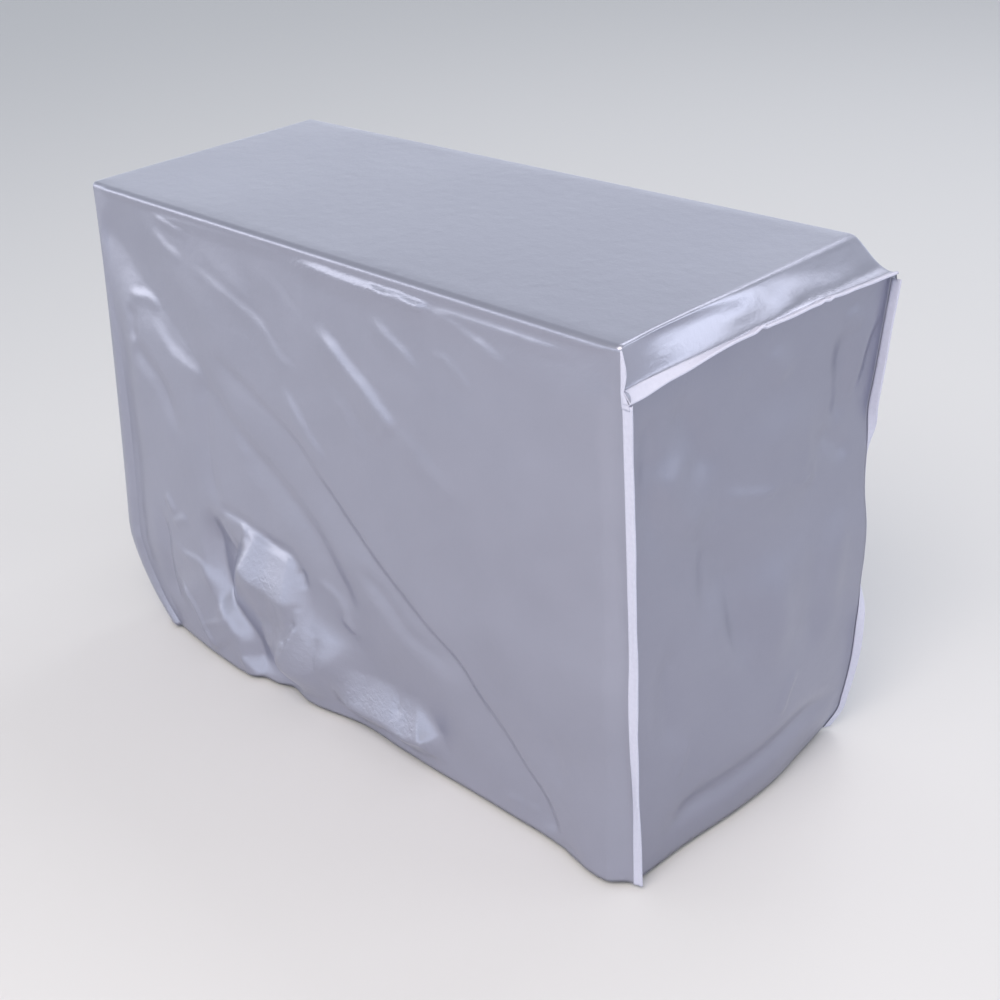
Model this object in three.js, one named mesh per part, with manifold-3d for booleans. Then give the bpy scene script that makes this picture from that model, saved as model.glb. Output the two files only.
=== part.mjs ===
// Fitted cover for the outdoor unit of an air conditioner, hanging as it does on the unit.
// One strip of silver-coated cloth runs up the front, over the top and down the back. An end
// panel closes each end, the seam allowances turn outwards, and white binding tape wraps their
// raw edges. The cover is longer than the unit, so at the right its top runs on past the unit
// and droops to the end seam. The bottom is open. The unit itself is not built.
//
// Millimetres, +Z up, +X along the front to the right, +Y to the back. The origin is the middle
// of the unit's top face, just under the cloth.
import * as THREE from 'three';
import { mergeVertices } from 'three/addons/utils/BufferGeometryUtils.js';
import Module from 'manifold-3d';

// Driving dimensions
const unitLength = 807;            // between the upright edges that the cloth is drawn over
const unitDepth = 322;
const coverDrop = 569;             // from the top down to the hem
const clothThick = 1.2;
const tapeThick = 1.0;
const layerGap = 0.85;             // air between cloth layers, and between cloth and tape
const seamWidth = 9.4;             // how far the seam allowance stands out past the stitching
const tapeWidth = 11.5;            // of the folded binding tape
const tapeWideEnd = 13.5;          // where its front end is pressed flat on the right top seam
const tapeOuterStart = 1;          // its outer leg begins just past the stitching
const tapeInnerStart = 7.3;        // its inner leg is narrower and clears the panel
const spareAtBack = 44;            // how far the right end seam stands out at the back corner
const cornerDrop = 36;             // how far the right end seam starts below the front top edge
const leftWrap = 5;                // the strip turns this far round the left corners to its seam

const halfLength = unitLength / 2;
const halfDepth = unitDepth / 2;
const topLevel = clothThick / 2;   // middle of the cloth, so that its underside is at z = 0

// How finely the cloth is divided
const lowerRows = 20;              // front, from the hem up to cornerDrop
const upperLevels = [28, 20, 12, 5];
const topRows = [-156, -141, -125, -85, -45, -5, 40, 85, 125];
const backRows = 12;
const evenColumns = 34;
const firstEvenEnd = 36;               // the even columns of the front stop this far from its right edge
const rightColumns = [24, 14, 6, 0];   // and the last ones stand at these distances from it

// Small helpers

const lerp = (a, b, t) => a + (b - a) * t;
const clamp01 = (t) => Math.min(1, Math.max(0, t));
const ease = (t) => clamp01(t) ** 2 * (3 - 2 * clamp01(t));
const bell = (distance, reach) => Math.exp(-((distance / reach) ** 2));
const vec = (x, y, z) => new THREE.Vector3(x, y, z);
const degrees = (a) => (a * Math.PI) / 180;

// The value of one column of a table at a place between its rows.
function read(table, key, at, column) {
  const last = table.length - 1;
  if (at <= table[0][key]) return table[0][column];
  if (at >= table[last][key]) return table[last][column];
  const i = table.findIndex((row) => row[key] >= at);
  const a = table[i - 1];
  const b = table[i];
  return lerp(a[column], b[column], ease((at - a[key]) / (b[key] - a[key])));
}

// The four upright edges, as a function of the distance down from the top

// The front left corner flares forwards and to the left, and its foot is tucked in.
const leftFlare = { perMm: 0.105, perMm2: 0.00007, shareLeft: 0.25, shareForward: 0.75 };
const leftFoot = [
  { down: 440, inward: 0 },
  { down: 490, inward: 10 },
  { down: 512, inward: 19 },
  { down: 540, inward: 35 },
  { down: 569, inward: 60 },
];
const leftFootTurn = { from: 0.045, to: 0.115 };   // shares of the end panel's width
function frontLeft(down) {
  const held = Math.min(down, 455);
  const flare = leftFlare.perMm * held + leftFlare.perMm2 * held * held;
  const x = -halfLength - leftFlare.shareLeft * flare + read(leftFoot, 'down', down, 'inward');
  return vec(x, -halfDepth - leftFlare.shareForward * flare, -down);
}

// The front right seam stands on the unit's edge; turn is how its allowance swings back.
const rightFront = [
  { down: 0, forward: 0, turn: 3 },
  { down: 142, forward: 0, turn: 2 },
  { down: 236, forward: 0, turn: -3 },
  { down: 298, forward: 1, turn: -1 },
  { down: 343, forward: 4, turn: 8 },
  { down: 413, forward: 3, turn: -2 },
  { down: 456, forward: 0, turn: -12 },
  { down: 519, forward: 2.5, turn: 2 },
  { down: 569, forward: 4, turn: 8 },
];
const frontRight = (down) =>
  vec(halfLength, -halfDepth - read(rightFront, 'down', down, 'forward'), -down);

// The back right seam stands out beyond the unit, and its foot is drawn in.
const rightBack = [
  { down: 28, out: 45, back: 0, turn: 0 },
  { down: 135, out: 33, back: 0, turn: 0 },
  { down: 187, out: 28, back: 0, turn: 8 },
  { down: 258, out: 31, back: 0, turn: 30 },
  { down: 320, out: 36, back: 0, turn: 45 },
  { down: 367, out: 34, back: 0, turn: 42 },
  { down: 430, out: 31, back: 0, turn: 28 },
  { down: 483, out: 26, back: 0, turn: 30 },
  { down: 523, out: 19, back: -1, turn: 36 },
  { down: 569, out: 2, back: -10, turn: 40 },
];
const backRight = (down) =>
  vec(
    halfLength + read(rightBack, 'down', down, 'out'),
    halfDepth + read(rightBack, 'down', down, 'back'),
    -down,
  );

const backLeftFlare = { left: 5, back: 5 };
const backLeft = (down) => {
  const share = down / coverDrop;
  return vec(-halfLength - backLeftFlare.left * share, halfDepth + backLeftFlare.back * share, -down);
};

// Folds. Each runs along a path of [x, z] on the front, or [y, z] on the right end.
// rise is how far the cloth stands out there (negative: a trough), reach its half width.

const frontFolds = [
  { name: 'long trough from the left shoulder to the hem', rise: -12, reach: 20,
    path: [[-168, -140], [-88, -206], [-29, -239], [45, -306], [100, -350], [166, -385], [215, -437],
      [256, -479], [305, -530], [314, -565]] },
  { name: 'swell along the lower side of the long trough', rise: 9, reach: 30,
    path: [[-60, -262], [10, -330], [70, -392], [130, -445], [190, -500], [225, -545]] },
  { name: 'upper trough', rise: -8, reach: 17,
    path: [[-334, -93], [-270, -132], [-199, -181], [-151, -229], [-72, -284], [-13, -337], [20, -400]] },
  { name: 'shoulder ridge', rise: 7, reach: 17,
    path: [[2, -86], [65, -113], [116, -161], [172, -195], [200, -212]] },
  { name: 'second shoulder ridge', rise: 5, reach: 14,
    path: [[-148, -81], [-74, -111], [-34, -180], [3, -226]] },
  { name: 'left corner ridge', rise: 6, reach: 15,
    path: [[-385, -45], [-355, -90], [-320, -125]] },
  { name: 'left elbow', rise: 8, reach: 14,
    path: [[-302, -164], [-270, -187], [-225, -196], [-231, -280]] },
  { name: 'left hollow', rise: -7, reach: 16,
    path: [[-362, -198], [-300, -228], [-262, -262]] },
  { name: 'upright trough at the lower left', rise: -8, reach: 14,
    path: [[-334, -394], [-328, -450], [-319, -515]] },
  { name: 'deep trough that ends in the tuck', rise: -17, reach: 19,
    path: [[-222, -366], [-216, -430], [-196, -478], [-160, -530], [-146, -569]] },
  { name: 'narrow ridge beside the tuck', rise: 13, reach: 15,
    path: [[-136, -470], [-121, -505], [-104, -560]] },
  { name: 'swell above the tuck', rise: 12, reach: 34,
    path: [[-120, -430], [-60, -470], [-20, -520]] },
  { name: 'ledge near the hem', rise: 10, reach: 24,
    path: [[-5, -540], [60, -530], [130, -522]] },
  { name: 'lower left swell', rise: 7, reach: 30,
    path: [[-285, -420], [-262, -500], [-235, -555]] },
  { name: 'swell beside the right seam', rise: 6, reach: 24,
    path: [[352, -150], [358, -330], [366, -520]] },
];

// The pressed crease that runs below the front top edge: a groove with a roll under it.
const topCrease = {
  from: -300, to: 360, fade: 60,
  groove: -3.5, grooveDown: 12, grooveReach: 7,
  roll: 4, rollDown: 27, rollReach: 9,
};

const endFolds = [
  { name: 'fold above the hem', rise: -6, reach: 11,
    path: [[150, -532], [119, -513], [27, -513], [-73, -513], [-102, -526], [-125, -550]] },
  { name: 'upright swell', rise: 6, reach: 26,
    path: [[0, -240], [5, -330], [8, -420]] },
  { name: 'upright hollow', rise: -5, reach: 18,
    path: [[-72, -210], [-70, -300], [-64, -380]] },
  { name: 'ridge under the back corner', rise: 6, reach: 11,
    path: [[150, -50], [128, -94], [112, -160]] },
];

function distanceToPath(a, b, path) {
  let nearest = Infinity;
  for (let i = 1; i < path.length; i += 1) {
    const [pa, pb] = path[i - 1];
    const [qa, qb] = path[i];
    const da = qa - pa;
    const db = qb - pb;
    const along = clamp01(((a - pa) * da + (b - pb) * db) / (da * da + db * db));
    nearest = Math.min(nearest, Math.hypot(a - pa - along * da, b - pb - along * db));
  }
  return nearest;
}

const foldHeight = (folds, a, b) =>
  folds.reduce(
    (sum, fold) => sum + fold.rise * bell(distanceToPath(a, b, fold.path), fold.reach),
    0,
  );

// How far the front stands out past the straight line between its two upright edges.
const hemSwell = { middle: -230, width: 120, rise: 12, from: 250 };
const edgeSwell = { rise: 8, width: 26, reach: 110 };
function frontBulge(x, down) {
  const lower = clamp01((down - hemSwell.from) / (coverDrop - hemSwell.from));
  const swell = hemSwell.rise * lower ** 1.5 * bell(x - hemSwell.middle, hemSwell.width);
  const fromEdge = halfLength - x;
  const edgeShape = Math.sqrt(clamp01(fromEdge / edgeSwell.width)) * bell(fromEdge, edgeSwell.reach);
  const edge = edgeSwell.rise * edgeShape * clamp01(down / coverDrop);
  const inCrease = ease((x - topCrease.from) / topCrease.fade) * ease((topCrease.to - x) / topCrease.fade);
  const groove = topCrease.groove * bell(down - topCrease.grooveDown, topCrease.grooveReach);
  const roll = topCrease.roll * bell(down - topCrease.rollDown, topCrease.rollReach);
  return swell + edge + inCrease * (groove + roll);
}

// A point of the front: x runs between the two upright edges, and the cloth stays off the unit.
const frontFade = { left: 30, right: 12, top: 24, seam: 20 };
function frontPoint(x, down) {
  const fromLeft = x + halfLength;
  const fromRight = halfLength - x;
  const place = frontLeft(down).lerp(frontRight(down), clamp01(fromLeft / unitLength));
  const fade =
    ease(fromLeft / frontFade.left) * ease(fromRight / frontFade.right) * ease(down / frontFade.top);
  const out = frontBulge(x, down) + fade * foldHeight(frontFolds, place.x, -down);
  place.y = Math.min(place.y - out * ease(fromLeft / frontFade.seam), -halfDepth);
  return place;
}

// The right end seam above the end panel, from the front corner to the back corner.
// tilt is how far its allowance points up (negative: it hangs down).
const endSeam = [
  { y: -160, down: 36, tilt: -56 },
  { y: -125, down: 33.5, tilt: -40 },
  { y: -85, down: 32.5, tilt: -22 },
  { y: -45, down: 31.5, tilt: 6 },
  { y: -5, down: 30.5, tilt: 12 },
  { y: 40, down: 29, tilt: 12 },
  { y: 85, down: 28.5, tilt: 12 },
  { y: 161, down: 28, tilt: 12 },
];
const seamX = (y) => halfLength + 1 + (spareAtBack * (y + halfDepth)) / unitDepth;

// The top past the unit's right edge: steep at the edge and flatter towards the seam.
const droopValley = { middle: -85, width: 40, depth: 4.5 };
function droopPoint(y, share) {
  const down = read(endSeam, 'y', y, 'down');
  const x = lerp(halfLength, seamX(y), share);
  const valley = droopValley.depth * bell(y - droopValley.middle, droopValley.width);
  const dip = valley * Math.sin(Math.PI * share);
  const drop = (down + topLevel) * (1 - (1 - share) ** 2);
  return vec(x - dip / 2, y, topLevel - drop - dip);
}

// The back hangs nearly flat.
const backWaves = { rise: 3, length: 260, fade: 60 };
function backPoint(top, x, share) {
  const down = lerp(-top.z, coverDrop, share);
  const place = backLeft(down).lerp(backRight(down), clamp01((x + halfLength) / unitLength));
  const atSides = ease((x + halfLength) / backWaves.fade) * ease((halfLength - x) / backWaves.fade);
  const fade = atSides * ease(share * 2);
  place.y += fade * backWaves.rise * Math.cos((2 * Math.PI * x) / backWaves.length);
  place.x = lerp(top.x, place.x, ease(share * 3));
  place.y = lerp(top.y, place.y, ease(share * 3));
  return place;
}

// Rows of the strip. Each row is its points from left to right, with the seams at its two ends:
// root is the stitching, out the way the allowance points, side the way from the strip's own
// layer to the end panel's layer, width how far the allowance reaches.

const evenX = (i, end) => lerp(-halfLength, end, i / evenColumns);

// The place of each column of a front row, as [x, down]. Above the right seam the row's end fans
// round the seam's upper end, from level at the seam to upright along the unit's edge.
const fanRise = 1.6;
function frontColumns(down) {
  const fan = Math.max(0, 1 - down / cornerDrop);
  const end = lerp(halfLength - firstEvenEnd, halfLength, fan);
  const foot = Math.max(down, cornerDrop - fanRise * fan);
  const last = rightColumns.map((distance, i) => {
    const share = lerp(1 - distance / firstEvenEnd, (i + 1) / rightColumns.length, fan);
    return [lerp(end, halfLength, share), lerp(down, foot, share)];
  });
  return [...Array.from({ length: evenColumns + 1 }, (_, i) => [evenX(i, end), down]), ...last];
}
const hemColumnX = frontColumns(coverDrop).map(([x]) => x);

const seam = (root, out, side, width) => ({ root, out, side, width });

// Seams whose allowance turns in the level plane, or in the plane across the depth. The angle
// is measured from +X, and facing is 1 or -1: the side on which the end panel's layer lies.
function levelSeam(root, angle, facing, width) {
  const a = degrees(angle);
  const side = vec(-Math.sin(a), Math.cos(a), 0).multiplyScalar(facing);
  return seam(root, vec(Math.cos(a), Math.sin(a), 0), side, width);
}

function acrossSeam(root, angle, facing, width) {
  const a = degrees(angle);
  const side = vec(Math.sin(a), 0, -Math.cos(a)).multiplyScalar(facing);
  return seam(root, vec(Math.cos(a), 0, Math.sin(a)), side, width);
}

const leftFrontAngle = 120;
const leftTopAngle = 235;
const leftBackAngle = 135;
const leftRootOut = 1;             // the left seams stand this far outside the unit's edges
const leftTopDown = leftWrap + 2;

// At the right front corner the allowance is narrow and turns under the drooping top.
const rightCorner = { out: vec(0.88, 0, -0.47), side: vec(-0.3, 1, -0.6), width: 2.5, nextWidth: 7 };

function frontRow(down, leftWidth) {
  const points = frontColumns(down).map(([x, columnDown]) => frontPoint(x, columnDown));
  const corner = points[points.length - 1];
  const leftRoot = points[0].clone().add(vec(-leftRootOut / 2, leftWrap, 0));
  return {
    points,
    left: levelSeam(leftRoot, leftFrontAngle, -1, leftWidth),
    right:
      down > cornerDrop
        ? levelSeam(corner, read(rightFront, 'down', down, 'turn'), 1, seamWidth)
        : seam(corner, rightCorner.out, rightCorner.side, rightCorner.width),
  };
}

const leftTopSeam = (y, width) =>
  acrossSeam(vec(-halfLength - leftRootOut, y, -leftTopDown), leftTopAngle, -1, width);

function topRow(y, left) {
  const flat = Array.from({ length: evenColumns + 1 }, (_, i) => vec(evenX(i, halfLength), y, topLevel));
  const droop = rightColumns.map((_, i) => droopPoint(y, (i + 1) / rightColumns.length));
  const points = [...flat, ...droop];
  const tilt = read(endSeam, 'y', y, 'tilt');
  return { points, left, right: acrossSeam(points[points.length - 1], tilt, 1, seamWidth) };
}

function backRow(foldPoints, share) {
  const points = foldPoints.map((top, i) => backPoint(top, hemColumnX[i], share));
  const corner = points[points.length - 1];
  const turn = read(rightBack, 'down', -corner.z, 'turn');
  return {
    points,
    left: levelSeam(points[0].clone().add(vec(-leftRootOut, 0, 0)), leftBackAngle, 1, seamWidth),
    right: levelSeam(corner, turn, -1, seamWidth),
  };
}

// At the corners, where allowances of two seams meet, they are cut narrow.
const upperWidths = [8, 5, 2.5, 1.5];
const foldWidth = 1.5;
const backCornerWidths = { left: 3, right: 4 };
const firstTopLeft = { y: -152, width: 2 };

const levels = Array.from({ length: lowerRows + 1 }, (_, i) => lerp(coverDrop, cornerDrop, i / lowerRows));
const lowerFront = levels.map((down) => frontRow(down, seamWidth));
const upperFront = upperLevels.map((down, i) => frontRow(down, upperWidths[i]));
const foldRow = frontRow(0, foldWidth);
foldRow.points.slice(0, evenColumns + 1).forEach((point) => point.setZ(topLevel));

// The left seam turns the front corner over the two rows beside the fold.
const cornerTurn = { out: vec(-0.6, 0.4, -0.69), side: vec(0.74, 0.35, -0.57) };
const turnLeftCorner = (row, back, down) => {
  const root = vec(-halfLength - leftRootOut, -halfDepth + back, -down);
  row.left = seam(root, cornerTurn.out, cornerTurn.side, foldWidth);
};
turnLeftCorner(upperFront[upperFront.length - 1], 5.5, 9.5);
turnLeftCorner(foldRow, 6.5, 8.2);

const top = topRows.map((y, i) =>
  topRow(y, i === 0 ? leftTopSeam(firstTopLeft.y, firstTopLeft.width) : leftTopSeam(y, seamWidth)),
);

top[0].right.width = rightCorner.nextWidth;

// At the back corners the end panels' layer lies both under the top and in front of the back.
const backCorner = { out: vec(-0.76, 0.46, -0.46), side: vec(0, -0.9, -0.9) };
const backCornerRoot = vec(-halfLength - leftRootOut, halfDepth - 1, -leftTopDown);
const backFold = topRow(
  halfDepth,
  seam(backCornerRoot, backCorner.out, backCorner.side, backCornerWidths.left),
);
backFold.right.side.set(0, -1, -1);
backFold.right.width = backCornerWidths.right;
const back = Array.from({ length: backRows }, (_, i) => backRow(backFold.points, (i + 1) / backRows));
const stripRows = [...lowerFront, ...upperFront, foldRow, ...top, backFold, ...back];

// Mesh building

// A grid of quads as triangles. In a seam allowance the two parts of each quad meet along the
// line that leaves the stitching of one row for the outer edge of the next, so that layers stay
// an even gap apart. On the front they meet along the way that the long troughs run.
function gridFaces(rowCount, columnCount, splitOther) {
  const faces = [];
  for (let j = 0; j < rowCount - 1; j += 1) {
    for (let i = 0; i < columnCount - 1; i += 1) {
      const a = j * columnCount + i;
      const b = a + 1;
      const d = a + columnCount;
      const c = d + 1;
      if (splitOther(i)) faces.push([a, b, d], [b, c, d]);
      else faces.push([a, b, c], [a, c, d]);
    }
  }
  return faces;
}

// A sheet of the given thickness about an open surface.
function thicken(points, faces, thickness) {
  const normals = points.map(() => vec(0, 0, 0));
  const edgeUses = new Map();
  faces.forEach((face) => {
    const [a, b, c] = face.map((i) => points[i]);
    const normal = b.clone().sub(a).cross(c.clone().sub(a)).normalize();
    face.forEach((i, corner) => {
      const toNext = points[face[(corner + 1) % 3]].clone().sub(points[i]);
      const toLast = points[face[(corner + 2) % 3]].clone().sub(points[i]);
      normals[i].addScaledVector(normal, toNext.angleTo(toLast));
      const j = face[(corner + 1) % 3];
      edgeUses.set(`${i},${j}`, [i, j]);
    });
  });
  normals.forEach((normal) => normal.normalize());
  const count = points.length;
  const upper = points.map((p, i) => p.clone().addScaledVector(normals[i], thickness / 2));
  const lower = points.map((p, i) => p.clone().addScaledVector(normals[i], -thickness / 2));
  const solid = [];
  faces.forEach(([a, b, c]) => solid.push([a, b, c], [count + a, count + c, count + b]));
  edgeUses.forEach(([i, j]) => {
    if (edgeUses.has(`${j},${i}`)) return;
    solid.push([j, i, count + i], [j, count + i, count + j]);
  });
  return { points: [...upper, ...lower], faces: solid };
}

// A closed body through sections with the same number of corners. Each section is a ring of
// points; flat gives the same ring in its own plane, to close the two ends.
function loft(sections, flat) {
  const size = flat.length;
  const faces = [];
  for (let j = 0; j < sections.length - 1; j += 1) {
    for (let i = 0; i < size; i += 1) {
      const next = (i + 1) % size;
      const a = j * size + i;
      const b = j * size + next;
      const c = (j + 1) * size + next;
      const d = (j + 1) * size + i;
      if (flat[next].x >= flat[i].x) faces.push([a, b, c], [a, c, d]);
      else faces.push([a, b, d], [b, c, d]);
    }
  }
  const lastRing = (sections.length - 1) * size;
  THREE.ShapeUtils.triangulateShape(flat, []).forEach(([a, b, c]) => {
    faces.push([a, c, b], [lastRing + a, lastRing + b, lastRing + c]);
  });
  return { points: sections.flat(), faces };
}

function volumeOf({ points, faces }) {
  return faces.reduce((sum, [a, b, c]) => {
    const normal = points[b].clone().cross(points[c]);
    return sum + points[a].dot(normal) / 6;
  }, 0);
}

function toGeometry(body) {
  const turned = volumeOf(body) < 0 ? body.faces.map(([a, b, c]) => [a, c, b]) : body.faces;
  const geometry = new THREE.BufferGeometry();
  const numbers = body.points.flatMap((p) => [p.x, p.y, p.z]);
  geometry.setAttribute('position', new THREE.Float32BufferAttribute(numbers, 3));
  geometry.setIndex(turned.flat());
  return geometry;
}

// The strip

function stripGeometry() {
  const rows = stripRows.map(({ points, left, right }) => [
    left.root.clone().addScaledVector(left.out, left.width),
    left.root,
    ...points,
    right.root.clone().addScaledVector(right.out, right.width),
  ]);
  const columnCount = rows[0].length;
  const rightAllowance = columnCount - 2;
  const faces = gridFaces(rows.length, columnCount, (i) => i !== rightAllowance);
  return toGeometry(thicken(rows.flat(), faces, clothThick));
}

// End panels. The borders are the seams of the strip, one layer further in.

const layerStep = clothThick + layerGap;
const endRoot = (s) => s.root.clone().addScaledVector(s.side, layerStep);
const endEdge = (s) => endRoot(s).addScaledVector(s.out, s.width);

function pointAlong(line, share) {
  const at = share * (line.length - 1);
  const i = Math.min(Math.floor(at), line.length - 2);
  return line[i].clone().lerp(line[i + 1], at - i);
}

// The front and back seams run from the hem up, the top one from the front to the back corner.
function endPanel(seams, surface) {
  const frontLine = seams.front.map(endRoot);
  const topLine = seams.top.map(endRoot);
  const backLine = seams.back.map(endRoot);
  const topFront = topLine[0];
  const topBack = topLine[topLine.length - 1];
  const lastRow = frontLine.length - 1;
  const rows = frontLine.map((front, j) =>
    topLine.slice(0, -1).map((above, k) => {
      if (k === 0) return front;
      if (j === lastRow) return above;
      const high = j / lastRow;
      const across = (above.y - topFront.y) / (topBack.y - topFront.y);
      // between the side seams, raised as the top seam is above the line between its ends
      const straightTop = topFront.clone().lerp(topBack, across);
      const rear = pointAlong(backLine, high);
      const place = front.clone().lerp(rear, across).addScaledVector(above.clone().sub(straightTop), high);
      return surface(place, { high, across, front, rear, hang: topFront.x });
    }),
  );
  const columnCount = rows[0].length;
  const points = [...rows.flat(), ...backLine];
  const faces = gridFaces(rows.length, columnCount, () => false);
  const firstBack = rows.length * columnCount;

  // The last column meets the back seam, which has fewer rows.
  const lastBack = backLine.length - 1;
  let i = 0;
  let j = 0;
  while (i < lastRow || j < lastBack) {
    const here = i * columnCount + columnCount - 1;
    if (j === lastBack || (i < lastRow && (i + 1) / lastRow <= (j + 1) / lastBack)) {
      faces.push([here, firstBack + j, here + columnCount]);
      i += 1;
    } else {
      faces.push([here, firstBack + j, firstBack + j + 1]);
      j += 1;
    }
  }

  // The seam allowance runs up the front, along the top and down the back.
  const border = [
    ...seams.front.map((s, n) => ({ s, at: n * columnCount })),
    ...seams.top.slice(1, -1).map((s, n) => ({ s, at: lastRow * columnCount + n + 1 })),
    ...seams.back.map((s, n) => ({ s, at: firstBack + n })).reverse(),
  ];
  const firstEdge = points.length;
  border.forEach(({ s }) => points.push(endEdge(s)));
  for (let n = 0; n < border.length - 1; n += 1) {
    const [a, b] = [border[n].at, border[n + 1].at];
    const [c, d] = [firstEdge + n, firstEdge + n + 1];
    faces.push([a, b, d], [a, d, c]);
  }
  return toGeometry(thicken(points, faces, clothThick));
}

// The right end is stretched between its seams, swells at the hem and has its own folds.
const endSwell = 15;
const endFade = { front: 1 / 12, back: 1 / 8, top: 1 / 9 };   // shares of its width and height
function rightEndSurface(place, { high, across }) {
  const fade =
    ease(across / endFade.front) * ease((1 - across) / endFade.back) * ease((1 - high) / endFade.top);
  place.x += endSwell * Math.sin(Math.PI * across) * (1 - high) ** 1.2;
  place.x += fade * foldHeight(endFolds, place.y, place.z);
  return place;
}

// The left end hangs straight down beside the unit, and its front foot turns in to the tuck.
const leftSlack = 3;
function leftEndSurface(place, { high, across, front, rear, hang }) {
  const slack = leftSlack * Math.sin(Math.PI * across) * ease((1 - high) * 2);
  const turned = ease((across - leftFootTurn.from) / (leftFootTurn.to - leftFootTurn.from));
  place.x = hang + (front.x - hang) * (1 - turned) + (rear.x - hang) * across ** 3 - slack;
  return place;
}

const reversed = (list) => [...list].reverse();
const rightOf = (rows) => rows.map((row) => row.right);
const leftOf = (rows) => rows.map((row) => row.left);
const backFromHem = reversed([backFold, ...back]);

const rightSeams = {
  front: rightOf(lowerFront),
  top: rightOf([lowerFront[lowerRows], ...top, backFold]),
  back: rightOf(backFromHem),
};

const leftCorner = upperFront.length - 2;      // the last row whose left seam is on the front
const leftSeams = {
  front: leftOf([...lowerFront, ...upperFront.slice(0, leftCorner + 1)]),
  top: leftOf([...upperFront.slice(leftCorner), foldRow, ...top, backFold]),
  back: leftOf(backFromHem),
};

// Binding tape: a channel round the two layers of allowance.

const channelFlat = (width) => {
  const outerFar = -(clothThick / 2 + layerGap + tapeThick);
  const innerFar = layerStep - outerFar;
  const corners = [
    [tapeOuterStart, outerFar],
    [width, outerFar],
    [width, innerFar],
    [tapeInnerStart, innerFar],
    [tapeInnerStart, innerFar - tapeThick],
    [width - tapeThick, innerFar - tapeThick],
    [width - tapeThick, outerFar + tapeThick],
    [tapeOuterStart, outerFar + tapeThick],
  ];
  return corners.map(([out, side]) => new THREE.Vector2(out, side));
};

function tape(seams, widthAt = () => tapeWidth) {
  const sections = seams.map((s, n) =>
    channelFlat(widthAt(n)).map((corner) =>
      s.root.clone().addScaledVector(s.out, corner.x).addScaledVector(s.side, corner.y),
    ),
  );
  return toGeometry(loft(sections, channelFlat(tapeWidth)));
}

// A seam station between two others.
function between(a, b, share) {
  return seam(
    a.root.clone().lerp(b.root, share),
    a.out.clone().lerp(b.out, share).normalize(),
    a.side.clone().lerp(b.side, share).normalize(),
    lerp(a.width, b.width, share),
  );
}

const wasm = await Module();
wasm.setup();

function toManifold(geometry) {
  const merged = mergeVertices(geometry);
  return new wasm.Manifold(
    new wasm.Mesh({
      numProp: 3,
      vertProperties: merged.attributes.position.array,
      triVerts: new Uint32Array(merged.index.array),
    }),
  );
}

function join(first, second) {
  const mesh = toManifold(first).add(toManifold(second)).getMesh();
  const geometry = new THREE.BufferGeometry();
  geometry.setAttribute('position', new THREE.BufferAttribute(mesh.vertProperties, mesh.numProp));
  geometry.setIndex(new THREE.BufferAttribute(mesh.triVerts, 1));
  return geometry;
}

// The upright tape at the front right ends in a flat tongue that reaches the top corner.
const tongueOutline = [
  { out: 1.2, down: 62 }, { out: 11, down: 62 }, { out: 11, down: 48 }, { out: 8, down: 42 },
  { out: 3.4, down: 38 }, { out: 4.6, down: 30 }, { out: 5, down: 22 }, { out: 4, down: 12 },
  { out: 1.6, down: 2 }, { out: 0.6, down: 2 },
];
function tongueGeometry() {
  const faceY = -halfDepth - clothThick / 2 - layerGap - tapeThick;
  const corners = tongueOutline.map((p) => new THREE.Vector2(halfLength + p.out, -p.down));
  const shape = new THREE.Shape(corners);
  const geometry = new THREE.ExtrudeGeometry(shape, { depth: tapeThick, bevelEnabled: false });
  geometry.rotateX(Math.PI / 2);
  geometry.translate(0, faceY + tapeThick, 0);
  geometry.deleteAttribute('normal');
  geometry.deleteAttribute('uv');
  return geometry;
}

// The front end of the right top tape is lapped round the upright tape.
const lapEdges = [
  { y: -148, topOut: 5.6, topDown: 35, lowOut: 13, lowDown: 46 },
  { y: -156, topOut: 8, topDown: 36, lowOut: 15.5, lowDown: 47 },
  { y: -163, topOut: 8, topDown: 36, lowOut: 15, lowDown: 48 },
  { y: -165, topOut: 5, topDown: 36.5, lowOut: 11, lowDown: 48.5 },
  { y: -165, topOut: -1.5, topDown: 39, lowOut: -1.5, lowDown: 48.5 },
];
function lapGeometry() {
  const points = lapEdges.flatMap((row) => [
    vec(halfLength + row.topOut, row.y, -row.topDown),
    vec(halfLength + row.lowOut, row.y, -row.lowDown),
  ]);
  const faces = gridFaces(lapEdges.length, 2, () => false);
  return toGeometry(thicken(points, faces, tapeThick));
}

// Where each tape begins and ends on its seam
const uprightTop = 50;             // the channel stops below the lap, the tongue goes on
const cornerClear = 7;             // tapes on two seams that meet keep this far apart
const lapClear = 4;                // the right top tape starts this far behind its seam's corner

// The seam station at a distance from the first of a line towards the second.
const inFrom = ([first, second], gap) => between(first, second, gap / first.root.distanceTo(second.root));

const rightFrontTapeSeams = [
  ...rightSeams.front.filter((s) => -s.root.z > uprightTop),
  frontRow(uprightTop, seamWidth).right,
];
const rightTopTapeSeams = [
  inFrom(rightSeams.top.slice(1), lapClear),
  ...rightSeams.top.slice(2, -1),
  inFrom(reversed(rightSeams.top), cornerClear),
];
const rightBackTapeSeams = [
  inFrom(reversed(rightSeams.back), cornerClear),
  ...reversed(rightSeams.back.slice(0, -1)),
];
const leftFrontTapeSeams = leftSeams.front.slice(0, lowerRows + 1);
const leftTopTapeSeams = leftSeams.top.filter((s) => s.width === seamWidth);
const leftBackTapeSeams = reversed(leftSeams.back.slice(0, -1));

const tapeWidths = (n) => (n < 2 ? tapeWideEnd : tapeWidth);

// Materials

const silverCloth = new THREE.MeshStandardMaterial({ color: '#a3a5b8', roughness: 0.42, metalness: 0.35 });
const whiteTape = new THREE.MeshStandardMaterial({ color: '#e9e9f4', roughness: 0.8, metalness: 0 });

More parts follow.
